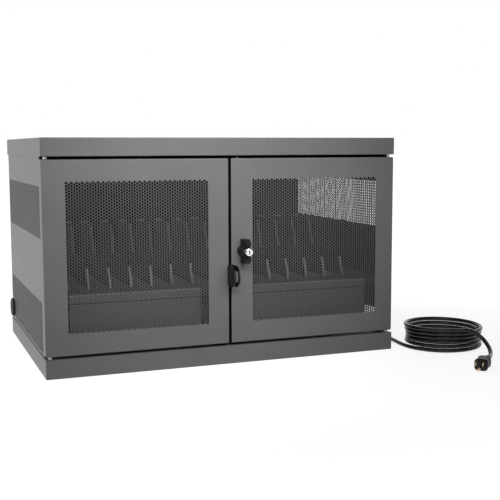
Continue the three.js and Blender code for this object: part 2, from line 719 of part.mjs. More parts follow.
// The least gap between the tube and a later turn of itself, on the path's points
function leastSelfGap(points) {
  let least = Infinity;
  for (let i = 0; i < points.length; i += 1) {
    for (let j = i + COIL_STEPS / 2; j < points.length; j += 1) {
      least = Math.min(least, points[i].distanceTo(points[j]) - 2 * CORD_RADIUS);
    }
  }
  return least;
}

// A plain round tube through chosen points
function cordTube(points) {
  const curve = new THREE.CatmullRomCurve3(points, false, 'centripetal');
  const section = new THREE.Shape();
  for (let side = 0; side < CORD_SIDES; side += 1) {
    const angle = (2 * Math.PI * side) / CORD_SIDES;
    const spot = [CORD_RADIUS * Math.cos(angle), CORD_RADIUS * Math.sin(angle)];
    if (side === 0) section.moveTo(...spot);
    else section.lineTo(...spot);
  }
  const steps = Math.round(curve.getLength() / CORD_STEP);
  return new THREE.ExtrudeGeometry(section, { steps, extrudePath: curve, curveSegments: 1 });
}

function addCord(exit) {
  const coil = coilPath();
  const coilFirst = coil.points[0];
  const coilLast = coil.points[coil.points.length - 1];
  place('cord_coil', woundTube(coil.points, coil.startHeading, coil.endHeading), 'cord_jacket');
  console.log(`least gap of the coil to itself: ${leastSelfGap(coil.points).toFixed(2)} mm`);

  const leadRoute = [
    [400, 212, 61], [418, 209.1, 57.1], [431.2, 201.2, 46.6], [436, 190.4, 32.2], [436, 180.1, 18.5],
    [436, 167.6, 8.2], [436, 159.5, 5.4], [435.7, 150, 4.5], [434.8, 136, CORD_FLOOR],
    [432.5, 112, CORD_FLOOR], [427.5, 78, CORD_FLOOR],
    [420, 35, CORD_FLOOR], [411, -15, CORD_FLOOR], [403, -65, CORD_FLOOR], [396.5, -115, CORD_FLOOR],
    [391.5, -160, CORD_FLOOR], [387, -195, CORD_FLOOR], [384.3, -222, CORD_FLOOR], [385.4, -246, CORD_FLOOR],
  ].map((spot) => axis(...spot));
  const leadEnd = coilFirst.clone().addScaledVector(coil.startHeading, -SEAT);
  const leadNear = leadEnd.clone().addScaledVector(coil.startHeading, -3 * CORD_RADIUS);
  place('cord_lead', cordTube([exit, ...leadRoute, leadNear, leadEnd]), 'cord_jacket');

  const heading = axis(...PLUG_HEADING, 0).normalize();
  const plugStart = axis(...PLUG_ENTRY);
  const tailStart = coilLast.clone().addScaledVector(coil.endHeading, SEAT);
  const tailNear = tailStart.clone().addScaledVector(coil.endHeading, 2 * CORD_RADIUS);
  const tailRoute = [
    [474, -328, 48.2], [485.5, -333.3, 43.2], [494.5, -341.2, 34], [498.8, -352.5, 23.5], [497.5, -366, 14.5],
    [491, -379, 8.6], [481.5, -391.5, 6.6], [471, -403.5, 8.6],
  ].map((spot) => axis(...spot));
  const tailEnd = plugStart.clone().addScaledVector(heading, -SEAT);
  const tailBeside = tailEnd.clone().addScaledVector(heading, -3 * CORD_RADIUS);
  place('cord_tail', cordTube([tailStart, tailNear, ...tailRoute, tailBeside, tailEnd]), 'cord_jacket');

  const plug = new THREE.Group();
  plug.position.copy(plugStart);
  plug.rotation.z = Math.atan2(heading.y, heading.x);
  cabinet.add(plug);
  addPlug(plug);
}

// The moulded plug: its X runs along the blades, and it lies on one flat side
function addPlug(plug) {
  const [length, width, height] = PLUG_BODY;
  const half = width / 2;
  const rise = height / 2;
  const section = [
    [-half + PLUG_BEVEL, -rise], [half - PLUG_BEVEL, -rise], [half, -rise + PLUG_BEVEL],
    [half, rise - PLUG_BEVEL], [half - PLUG_BEVEL, rise], [-half + PLUG_BEVEL, rise],
    [-half, rise - PLUG_BEVEL], [-half, -rise + PLUG_BEVEL],
  ];
  const bodyFrom = PLUG_RELIEF_LENGTH;
  const bodyTo = bodyFrom + length;
  place('plug_body', join(
    extrude(outline(section), 'x', bodyFrom, bodyTo),
    bar('x', [0, 0], 0, bodyFrom + SHEET, RELIEF_TIP_RADIUS, RELIEF_ROOT_RADIUS),
  ), 'black_plastic', plug);

  const [bladeLong, bladeThin, bladeWide] = BLADE_SIZE;
  const bladeFrom = bodyTo + SEAT;
  for (const [name, sign] of [['plug_live_blade', -1], ['plug_neutral_blade', 1]]) {
    const blade = block(
      [bladeFrom, bladeFrom + bladeLong],
      [-bladeThin / 2, bladeThin / 2],
      [-bladeWide / 2, bladeWide / 2],
    );
    place(name, blade, 'brass', plug).position.set(0, (sign * BLADE_SPACING) / 2, BLADE_OFFSET);
  }
  const pin = bar('x', [0, BLADE_OFFSET - GROUND_OFFSET], bladeFrom, bladeFrom + GROUND_LENGTH, GROUND_RADIUS);
  place('plug_ground_pin', pin, 'brass', plug);
}

addCase();
addShelf();
addDividers();
addOutlets();
addDoors();
addHasp('left_hasp_tab', -1, HASP_HEIGHT_LEFT);
addHasp('right_hasp_tab', 1, HASP_HEIGHT_RIGHT);
addLock();
addCord(addPorts());

export default cabinet;
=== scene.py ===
import json
import math

import bmesh
import bpy
import numpy as np
from mathutils import Matrix, Vector

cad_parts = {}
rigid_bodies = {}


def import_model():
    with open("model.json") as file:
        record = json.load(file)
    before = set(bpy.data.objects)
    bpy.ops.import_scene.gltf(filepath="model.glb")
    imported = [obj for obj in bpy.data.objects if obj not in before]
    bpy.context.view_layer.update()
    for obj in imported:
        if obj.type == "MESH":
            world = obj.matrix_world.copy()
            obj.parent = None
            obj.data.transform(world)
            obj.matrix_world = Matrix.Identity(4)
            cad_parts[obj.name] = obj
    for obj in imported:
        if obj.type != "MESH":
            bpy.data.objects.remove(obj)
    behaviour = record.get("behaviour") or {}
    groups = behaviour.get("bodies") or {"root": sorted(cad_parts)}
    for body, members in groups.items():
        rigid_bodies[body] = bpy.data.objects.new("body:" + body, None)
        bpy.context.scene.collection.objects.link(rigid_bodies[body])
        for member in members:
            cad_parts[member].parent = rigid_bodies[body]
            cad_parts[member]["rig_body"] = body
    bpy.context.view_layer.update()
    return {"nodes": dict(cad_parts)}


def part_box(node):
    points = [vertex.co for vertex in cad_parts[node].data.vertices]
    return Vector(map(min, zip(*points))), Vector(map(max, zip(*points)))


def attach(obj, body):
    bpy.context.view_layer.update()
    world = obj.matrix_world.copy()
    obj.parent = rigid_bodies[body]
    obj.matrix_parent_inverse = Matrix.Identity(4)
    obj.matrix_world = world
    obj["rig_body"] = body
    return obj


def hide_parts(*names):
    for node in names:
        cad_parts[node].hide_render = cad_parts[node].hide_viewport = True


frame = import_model()
MM = 0.001
SIDES = (("left", -1), ("right", 1))


def box_of(node):
    """The lowest and the highest corner of a CAD node, in millimetres."""
    return [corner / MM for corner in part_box(node)]


def middle_of(node):
    low, high = box_of(node)
    return (low + high) / 2


# Camera, fitted to the cabinet's corners in the photograph
CAMERA_PLACE = (-596.45, -1879.96, 411.98)
CAMERA_YAW = 21.175
CAMERA_PITCH = 6.308
CAMERA_ROLL = -0.1585
CAMERA_LENS = 66.967
CAMERA_SENSOR = 36
CAMERA_REACH = 100

# Brightness of the room round the object: as light, and in reflections of its front
ROOM_LIGHT = 0.08
ROOM_DIM = 0.14
BACKDROP_TURN = (-0.3, 0.4)

# Floor: its reach and the distances between which its glow rises, in metres
FLOOR_REACH = 30
FLOOR_GREY = (0.45, 0.45, 0.45, 1)
FLOOR_FADE = (0.5, 1.3)
FLOOR_GLOW = (0.82, 1.0)

# Meshes: sizes in millimetres from here on, angles in degrees
POINTS_PER_MM = 1000
CELL_CORNERS = 6
SAME_POINT = 0.01
FLAT_ANGLE = 1
SHARP_ANGLE = 38
MITRE_LIMIT = 0.4

# Sizes of the case; SEAT is the gap between pieces that touch. A profile is a row of (radius,
# distance along the axis), and a tip one of (inset from the radius, distance before the end)
HALF_WIDTH, HALF_DEPTH, CASE_HEIGHT = box_of("top_cap")[1]
CAP_FLOOR = box_of("top_cap")[0].z
CAP_LIP_BACK = -224.5
PLINTH_HEIGHT = box_of("plinth_tray")[1].z
SHEET = 1.5
SEAT = 0.3
SHELL_FRONT, SHELL_FLOOR = box_of("right_side_panel")[0].yz
SIDE_FACE, BACK_FACE, SHELL_TOP = box_of("right_side_panel")[1]
BEND = 2.0
BEND_STEPS = 6
EDGE = 0.4
SOFT_EDGE = 0.5
FINE_EDGE = 0.3

# Doors and their perforated windows
DOOR_INNER, DOOR_FACE, DOOR_FLOOR = box_of("right_door")[0]
DOOR_OUTER, DOOR_BACK, DOOR_TOP = box_of("right_door")[1]
DOOR_OVERLAP = 1
DOOR_SHEET = 1.2
DOOR_LIP = 15
DOOR_BACK_EDGE = 1
WINDOW_LEFT = {"left": -308.4, "right": 45.4}
WINDOW_FLOOR = 79.05
WINDOW_COLUMNS = 56
WINDOW_ROWS = 49
HOLE_COLUMN = 4.742
HOLE_PITCH = 5.532
HOLE_RADIUS = 2.46
HOLE_SIDES = 12

# Side vents, ports and back screws; a relief's grooves are (share of a ring, depth)
VENT_FRONT = -201.5
VENT_FLOORS = (38.5, 248)
VENT_COLUMNS = 90
VENT_ROWS = 17
VENT_SHEET = 0.8
VENT_RADIUS = 2.22
VENT_SIDES = 6
# Faces behind this depth into the side sheet, the vents' hole walls among them, are painted near black as
# shade
VENT_DARK_DEPTH = 0.24
PORT_Y, PORT_Z = middle_of("left_port_cap").yz
PORT_PLAIN = 24.5
PORT_NECK_RADIUS = 15
PORT_NECK_CHAMFER = 1.2
PORT_FLANGE_RADIUS = box_of("left_port_cap")[1].z - PORT_Z
PORT_CAP_TIP = ((0, 2.6), (0.7, 1), (2.2, 0.1), (4.5, 0), (5.6, 0.5), (6.4, 1.4), (14, 1.7))
GLAND_FLANGE = 6
GLAND_TIP = ((0, 2), (0.8, 0.6), (2.2, 0), (9, 0), (10.8, -0.5))
GLAND_RELIEF_START = 1.4
RELIEF_RINGS = 6
RELIEF_GROOVES = ((0.0, 0.0), (0.6, 0.0), (0.68, 0.8), (0.92, 0.8))
RELIEF_END = ((0, 0.3), (0.4, 0))
BACK_SCREWS = (-334, -167, 0, 167, 334)
BACK_SCREW_LEVELS = (50, 384)
SCREW_HEAD = ((4.6, -0.2), (4.6, 0.5), (3.9, 1.2), (2.6, 1.6), (1.7, 1.65), (1.5, 0.9))

# Adapter covers; the web closes the groove from behind and is painted near black as shade
COVER_STRIP = 14.8
COVER_JOGGLE = 0.4
COVER_GROOVE = 2.2
COVER_CORNER = 2
COVER_BEND = 0.6
COVER_ROLL = 1.5
COVER_WEB_LEVELS = (-6, 3)
COVER_WEB_DEPTHS = (3, 4)

# Dividers: stepped plates with a folded back edge; a trim's crown is (share of half its width, depth)
DIVIDER_COUNT = 15
DIVIDER_FRONT, DIVIDER_FLOOR = box_of("divider_01")[0].yz
DIVIDER_BACK, DIVIDER_TALL = box_of("divider_01")[1].yz
DIVIDER_RISE = 50
DIVIDER_LOW = DIVIDER_FLOOR + DIVIDER_RISE
DIVIDER_STEP = 18
DIVIDER_LEAN = 0.36
DIVIDER_ROUND = 12
DIVIDER_ROUND_STEPS = 8
DIVIDER_FLANGE = 19
TRIM_WIDTH = 3.6
TRIM_DEPTH = 3.2
TRIM_CROWN = ((-1, 0.2), (-0.7, -0.6), (0, -0.9), (0.7, -0.6), (1, 0.2))
TRIM_BEFORE = 6
TRIM_BEHIND = 22

# Outlet strips; an outlet's slots are (distance across, half their length)
OUTLET_COUNT = 8
OUTLET_PITCH = 30
OUTLET_HALF_SIZE = (11, 14)
OUTLET_CORNER = 4
OUTLET_DEPTHS = (-0.8, 1)
OUTLET_SLOTS = ((-6.35, 4.2), (6.35, 3.5))
SLOT_HALF_WIDTH = 0.95
SLOT_CORNER = 0.3
SLOT_RISE = 4
GROUND_HOLE_RISE = -6
GROUND_HOLE_RADIUS = 2.5
STRIP_END = 34
ROCKER_DIP = 1.4
ROCKER_EDGE = 0.7

# Lock and hasp
LOCK_X, LOCK_Z = middle_of("lock_plug").xz
KNOB_THICKNESS = 11
KNOB_SLOPE = 9.5
KNOB_EDGE = 1.3
KNOB_DISH = 13.5
KNOB_DISH_RISE = 2.5
HUB_CHAMFER = 0.8
HUB_TIP = ((0, 1.6), (1.2, 0.3))
HUB_MOUTH = (0.3, 1.5)
SPINDLE_RADIUS = 5
SPINDLE_CLEARANCE = 0.6
LOCK_PLUG_FACE = box_of("lock_plug")[0].y
LOCK_PLUG_BACK = box_of("lock_plug")[1].y
LOCK_PLUG_RADIUS = box_of("lock_plug")[1].x - LOCK_X
LOCK_PLUG_EDGE = 0.35
KEYWAY_DEPTH = 1.6
KEYWAY = ((-0.9, -4), (0.9, -4), (0.9, -1), (1.5, -0.6), (1.5, 0.8), (0.9, 1.2), (0.9, 4), (-0.9, 4))
ESCUTCHEON_TIP = ((0, 1.2), (0.5, 0.4), (1.4, 0))
ROD_CHAMFER = 0.5
ROD_TIP = ((0, 3), (1.1, 0.4), (1.6, 0))
HASP_HOLE_Y = -260.5
HASP_HOLE_RADIUS = 5.5
HASP_RIM = 6
HASP_TURN = 48
HASP_OPENING_BACK = -249
HINGE_PIN_RADIUS = 3
HINGE_PIN_TIP = ((0, 0.8), (0.8, 0))
HINGE_PIN_REACH = 14
HINGE_COLLAR_RADIUS = 3.8

# Supply cord: the route of its centre line, with straight ends at the coil and the plug
CORD_RADIUS = 4.1
CORD_FLOOR = 4.3
CORD_STEP = 5
SHORT_STRAIGHT = 2 * CORD_RADIUS
LONG_STRAIGHT = 3 * CORD_RADIUS
LINK_BUSH = ((6.2, 0), (6.2, 2.5), (5.4, 3.4), (4.7, 6), (CORD_RADIUS, 6.5))
CORD_EXIT = (384.6, 212, 61)
LEAD_ROUTE = (
    (400, 212, 61), (418, 209.1, 57.1), (431.2, 201.2, 46.6), (436, 190.4, 32.2), (436, 180.1, 18.5),
    (436, 167.6, 8.2), (436, 159.5, 5.4), (435.7, 150, 4.5), (434.8, 136, 4.3), (432.5, 112, 4.3),
    (427.5, 78, 4.3), (420, 35, 4.3), (411, -15, 4.3), (403, -65, 4.3), (396.5, -115, 4.3),
    (391.5, -160, 4.3), (387, -195, 4.3), (384.3, -222, 4.3), (385.4, -246, 4.3),
)
TAIL_ROUTE = (
    (474, -328, 46), (485.5, -333.3, 41.6), (494.5, -341.2, 33.2), (498.8, -352.5, 23.5),
    (497.5, -366, 14.5), (491, -379, 8.6), (481.5, -391.5, 6.6), (471, -403.5, 8.6),
)
COIL_CENTRE = (467, -246)
COIL_RADII = (76, 74.5, 73, 73.5, 75.5, 77.5, 78)
COIL_START = -150
COIL_TURNS = 5 + 44 / 360
COIL_RISE = 8.3
COIL_STEPS = 72

# Plug: its cross-section goes from a circle to a rounded box
PLUG_ENTRY = (454, -422.5, 12.4)
PLUG_HEADING = (-0.725, -0.688)
PLUG_RELIEF = 28
PLUG_LENGTH = 66
PLUG_HALF_WIDTH = 12.5
PLUG_HALF_HEIGHT = 11.5
PLUG_SIDES = 48
PLUG_ROUND = 2
PLUG_SQUARE = 3.6
PLUG_SHOULDER = 8
PLUG_SHOULDER_STEPS = 6
PLUG_RIM = 3
PLUG_FACE_EDGE = 0.7
PLUG_FACE_INSET = 0.8
PLUG_WAIST = 1.4
PLUG_WAIST_SHARE = 0.6
PLUG_RIB = 0.5
PLUG_GRIP_STEPS = 14
RELIEF_TIP = 5.2
RELIEF_ROOT = 8
BLADE_LENGTH = 17.5
BLADE_THICKNESS = 1.5
BLADE_WIDTH = 6.3
BLADE_SPACING = 12.7
BLADE_RISE = 3.9
BLADE_ROOT = 1
BLADE_TAPER = (1.6, 1.4)
BLADE_HOLE_BACK = 4.5
BLADE_HOLE_RADIUS = 1.6
GROUND_RISE = -4.1
GROUND_LENGTH = 20.6
GROUND_RADIUS = 2.4
GROUND_TIP = ((0, 2.6), (0.3, 1.4), (1, 0.4), (1.6, 0))


# Materials

def mapped(tree, source, before, after):
    """A value taken from one range to another."""
    node = tree.nodes.new("ShaderNodeMapRange")
    for socket, value in zip(("From Min", "From Max", "To Min", "To Max"), (*before, *after)):
        node.inputs[socket].default_value = value
    tree.links.new(source, node.inputs["Value"])
    return node.outputs["Result"]


class Recipe:
    """A principled material under construction, with coordinates in metres."""

    def __init__(self, name):
        self.material = bpy.data.materials.new(name)
        self.material.use_nodes = True
        self.tree = self.material.node_tree
        self.shader = self.tree.nodes["Principled BSDF"]
        self.place = self.tree.nodes.new("ShaderNodeTexCoord").outputs["Object"]

    def link(self, source, target):
        self.tree.links.new(source, target)

    def set(self, **values):
        for socket, value in values.items():
            self.shader.inputs[socket.replace("_", " ")].default_value = value

    def noise(self, scale, detail=2.0, roughness=0.5, stretch=None):
        node = self.tree.nodes.new("ShaderNodeTexNoise")
        node.inputs["Scale"].default_value = scale
        node.inputs["Detail"].default_value = detail
        node.inputs["Roughness"].default_value = roughness
        place = self.place
        if stretch:
            mapping = self.tree.nodes.new("ShaderNodeMapping")
            mapping.inputs["Scale"].default_value = stretch
            self.link(place, mapping.inputs["Vector"])
            place = mapping.outputs["Vector"]
        self.link(place, node.inputs["Vector"])
        return node.outputs["Fac"]

    def tint(self, source, colour, *stops):
        """Varies the base colour with a pattern: a stop is (position, factor)."""
        node = self.tree.nodes.new("ShaderNodeValToRGB")
        for element, (position, factor) in zip(node.color_ramp.elements, stops):
            element.position = position
            element.color = (*[channel * factor for channel in colour], 1)
        self.link(source, node.inputs["Fac"])
        self.link(node.outputs["Color"], self.shader.inputs["Base Color"])

    def roughen(self, source, low, high):
        """Varies the roughness with a pattern."""
        self.link(mapped(self.tree, source, (0, 1), (low, high)), self.shader.inputs["Roughness"])

    def bump(self, source, strength, distance):
        node = self.tree.nodes.new("ShaderNodeBump")
        node.inputs["Strength"].default_value = strength
        node.inputs["Distance"].default_value = distance
        self.link(source, node.inputs["Height"])
        self.link(node.outputs["Normal"], self.shader.inputs["Normal"])


def powder_coat(name, colour, roughness, gloss=0.5):
    """Satin powder coat: a fine pebbled skin with faint clouding."""
    recipe = Recipe(name)
    recipe.tint(recipe.noise(scale=9.0, detail=3.0), colour, (0.3, 0.94), (0.7, 1.06))
    grain = recipe.noise(scale=1500.0, roughness=0.6)
    recipe.roughen(grain, roughness - 0.06, roughness + 0.06)
    recipe.bump(grain, strength=0.12, distance=0.0002)
    recipe.set(Specular_IOR_Level=gloss)
    return recipe.material


def moulded_plastic(name, colour, roughness, gloss=0.5):
    """Moulded plastic with a fine spark-eroded grain."""
    recipe = Recipe(name)
    grain = recipe.noise(scale=2600.0)
    recipe.tint(grain, colour, (0.25, 0.8), (0.75, 1.3))
    recipe.roughen(grain, roughness - 0.07, roughness + 0.07)
    recipe.bump(grain, strength=0.15, distance=0.0001)
    recipe.set(Specular_IOR_Level=gloss)
    return recipe.material


def plated_metal(name, colour, roughness, stretch):
    """Bright metal with faint drawn lines."""
    recipe = Recipe(name)
    lines = recipe.noise(scale=900.0, stretch=stretch)
    recipe.tint(lines, colour, (0.2, 0.9), (0.8, 1.05))
    recipe.roughen(lines, roughness * 0.7, roughness * 1.4)
    recipe.bump(lines, strength=0.05, distance=0.0001)
    recipe.set(Metallic=1.0)
    return recipe.material


def jacket(name, colour):
    """Extruded cord jacket: glossy, with slight waviness."""
    recipe = Recipe(name)
    wave = recipe.noise(scale=160.0)
    recipe.tint(recipe.noise(scale=1800.0), colour, (0.3, 0.8), (0.7, 1.25))
    recipe.roughen(wave, 0.2, 0.3)
    recipe.bump(wave, strength=0.03, distance=0.0004)
    recipe.set(Specular_IOR_Level=0.4)
    return recipe.material


GRAPHITE = powder_coat("graphite_powder_coat", (0.136, 0.136, 0.14), 0.46)
# Painted shade: the adapter covers' graphite, darkened for the shade behind the doors
COVER_SHADE_COAT = powder_coat("cover_coat_painted_shade", (0.085, 0.085, 0.088), 0.5)
# Painted shade: the shelf and its hangers, darker than the case's graphite for the shade inside the case
INTERIOR_SHADE = powder_coat("inner_powder_coat", (0.028, 0.028, 0.029), 0.55, 0.3)
# The dividers' own dark steel, deepened to near black as painted shade inside the case
DIVIDER_DARK_AND_SHADE = powder_coat("divider_dark_coat_and_painted_shade", (0.008, 0.008, 0.008), 0.6, 0.15)
# Painted shade: a near-black coat for the shade inside the case, in the vents' hole walls, between the
# doors, in the cover grooves and in the keyway
PAINTED_SHADE = powder_coat("painted_shade_coat", (0.012, 0.012, 0.012), 0.6, 0.2)
# Lit and shaded copies of one trim: a painted highlight and painted shade
PAINTED_HIGHLIGHT_TRIM = moulded_plastic("trim_painted_highlight", (0.22, 0.22, 0.225), 0.45)
PAINTED_SHADE_TRIM = moulded_plastic("trim_painted_shade", (0.07, 0.07, 0.07), 0.5)
PLASTIC = moulded_plastic("black_plastic", (0.007, 0.007, 0.007), 0.45, 0.3)
BLACK_STEEL = powder_coat("black_steel", (0.007, 0.007, 0.0075), 0.4, 0.3)
CHROME = plated_metal("chrome", (0.82, 0.82, 0.83), 0.1, (1, 1, 1))
ZINC = plated_metal("zinc_plate", (0.5, 0.5, 0.515), 0.34, (1, 1, 0.05))
ROD_ZINC = plated_metal("rod_zinc_plate", (0.8, 0.8, 0.81), 0.3, (1, 1, 0.05))
BRASS = plated_metal("brass", (0.62, 0.46, 0.24), 0.28, (0.1, 1, 1))
JACKET = jacket("cord_jacket", (0.006, 0.006, 0.006))


# Mesh making

def put(name, data):
    """A new object in the scene."""
    item = bpy.data.objects.new(name, data)
    bpy.context.scene.collection.objects.link(item)
    return item


def add_piece(node, mesh, *materials, name=None):
    """Puts a mesh in a CAD node's place and on that node's body, with its materials."""
    piece = put(name or node + "_form", mesh)
    mesh.name = piece.name
    for material in materials:
        mesh.materials.append(material)
    body = frame["nodes"][node]["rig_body"]
    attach(piece, body)
    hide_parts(node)
    return piece


def soften(piece, width, segments=3, angle=32):
    """Rounds a piece's edges and keeps its flats flat."""
    for polygon in piece.data.polygons:
        polygon.use_smooth = True
    bevel = piece.modifiers.new("edges", "BEVEL")
    bevel.width = width * MM
    bevel.segments = segments
    bevel.limit_method = "ANGLE"
    bevel.angle_limit = math.radians(angle)
    bevel.harden_normals = True
    return piece


def mesh_from(points, faces):
    mesh = bpy.data.meshes.new("form")
    mesh.from_pydata([tuple(point) for point in points], [], faces)
    mesh.validate()
    return mesh


def mesh_of(shape):
    mesh = bpy.data.meshes.new("form")
    shape.to_mesh(mesh)
    shape.free()
    return mesh


def form_of(node):
    """A CAD node's own form with its coplanar facets joined."""
    shape = bmesh.new()
    shape.from_mesh(frame["nodes"][node].data)
    bmesh.ops.remove_doubles(shape, verts=shape.verts, dist=SAME_POINT * MM)
    angle = math.radians(FLAT_ANGLE)
    bmesh.ops.dissolve_limit(shape, angle_limit=angle, verts=shape.verts, edges=shape.edges, delimit=set())
    return mesh_of(shape)


def dressed(node, width, material):
    """A CAD node's own form with its edges rounded."""
    return soften(add_piece(node, form_of(node), material), width)


def merged(*meshes):
    """Several meshes as one."""
    shape = bmesh.new()
    for mesh in meshes:
        shape.from_mesh(mesh)
        bpy.data.meshes.remove(mesh)
    return mesh_of(shape)


def painted(mesh, index, low=None, high=None):
    """Gives a material index to the faces in a box, or to all."""
    for polygon in mesh.polygons:
        middle = polygon.center / MM
        if low is None or all(a <= value <= b for a, value, b in zip(low, middle, high)):
            polygon.material_index = index
    return mesh


def arc(centre, radius, start, end, steps):
    """Points round part of a circle, in degrees."""
    turns = [math.radians(start + (end - start) * step / steps) for step in range(steps + 1)]
    return [(centre[0] + radius * math.cos(turn), centre[1] + radius * math.sin(turn)) for turn in turns]


def circle(centre, radius, sides=40):
    return arc(centre, radius, 0, 360 - 360 / sides, sides - 1)


def rounded(u0, u1, v0, v1, radius, steps=BEND_STEPS):
    """A rectangle with round corners."""
    inner = ((u1 - radius, v0 + radius, -90), (u1 - radius, v1 - radius, 0),
             (u0 + radius, v1 - radius, 90), (u0 + radius, v0 + radius, 180))
    return [spot for u, v, start in inner for spot in arc((u, v), radius, start, start + 90, steps)]


def plate(loops, direction, low, high):
    """A plate drawn out along an axis: its outside loop comes first, then its holes."""
    axes = {"x": (2, 0, 1), "y": (0, 2, 1), "z": (0, 1, 2)}[direction]
    shape = bmesh.new()
    edges = []
    for loop in loops:
        corners = []
        for u, v in loop:
            spot = (u * MM, v * MM, low * MM)
            corners.append(shape.verts.new([spot[axis] for axis in axes]))
        edges += [shape.edges.new((corners[place - 1], corners[place])) for place in range(len(corners))]
    bmesh.ops.triangle_fill(shape, use_beauty=True, edges=edges)
    drawn = bmesh.ops.extrude_face_region(shape, geom=shape.faces[:])
    shift = [0, 0, (high - low) * MM]
    risen = [item for item in drawn["geom"] if isinstance(item, bmesh.types.BMVert)]
    bmesh.ops.translate(shape, vec=[shift[axis] for axis in axes], verts=risen)
    bmesh.ops.recalc_face_normals(shape, faces=shape.faces[:])
    return mesh_of(shape)


def skin(rings, closed=False):
    """A surface over rings of points: capped at both ends, or joined last to first."""
    sides = len(rings[0])
    points = [Vector(spot) * MM for ring in rings for spot in ring]
    faces = []
    for place in range(len(rings) if closed else len(rings) - 1):
        near = place * sides
        far = (place + 1) % len(rings) * sides
        for side in range(sides):
            following = (side + 1) % sides
            faces.append((near + side, near + following, far + following, far + side))
    if not closed:
        faces.append(tuple(reversed(range(sides))))
        faces.append(tuple(range(len(points) - sides, len(points))))
    shape = bmesh.new()
    shape.from_mesh(mesh_from(points, faces))
    bmesh.ops.recalc_face_normals(shape, faces=shape.faces[:])
    mesh = mesh_of(shape)
    for polygon in mesh.polygons:
        polygon.use_smooth = True
    mesh.set_sharp_from_angle(angle=math.radians(SHARP_ANGLE))
    return mesh


def turned(at, direction, profile, sides=40, closed=False):
    """A round body from its profile."""
    along = Vector(direction).normalized()
    across = along.orthogonal().normalized()
    other = along.cross(across)
    rings = []
    for radius, distance in profile:
        middle = Vector(at) + along * distance
        rings.append([middle + across * u + other * v for u, v in circle((0, 0), radius, sides)])
    return skin(rings, closed)


def chamfered(radius, start, end, cut):
    """The profile of a round bar whose ends are chamfered."""
    return [(radius - cut, start), (radius, start + cut), (radius, end - cut), (radius - cut, end)]


def tipped(radius, end, tip):
    """The profile of a round body's end."""
    return [(radius - inset, end - back) for inset, back in tip]


def swept(path, section):
    """A strip along a path in (Y, Z): its section is (X, distance into the plate)."""
    spots = [Vector(spot) for spot in path]
    rings = []
    for place, spot in enumerate(spots):
        before = (spot - spots[max(place - 1, 0)]).normalized()
        after = (spots[min(place + 1, len(spots) - 1)] - spot).normalized()
        way = (before + after).normalized()
        stretch = 1 / max(way.dot(after if after.length else before), MITRE_LIMIT)
        inward = Vector((way.y, -way.x)) * stretch
        rings.append([(x, spot.x + inward.x * depth, spot.y + inward.y * depth) for x, depth in section])
    return skin(rings)


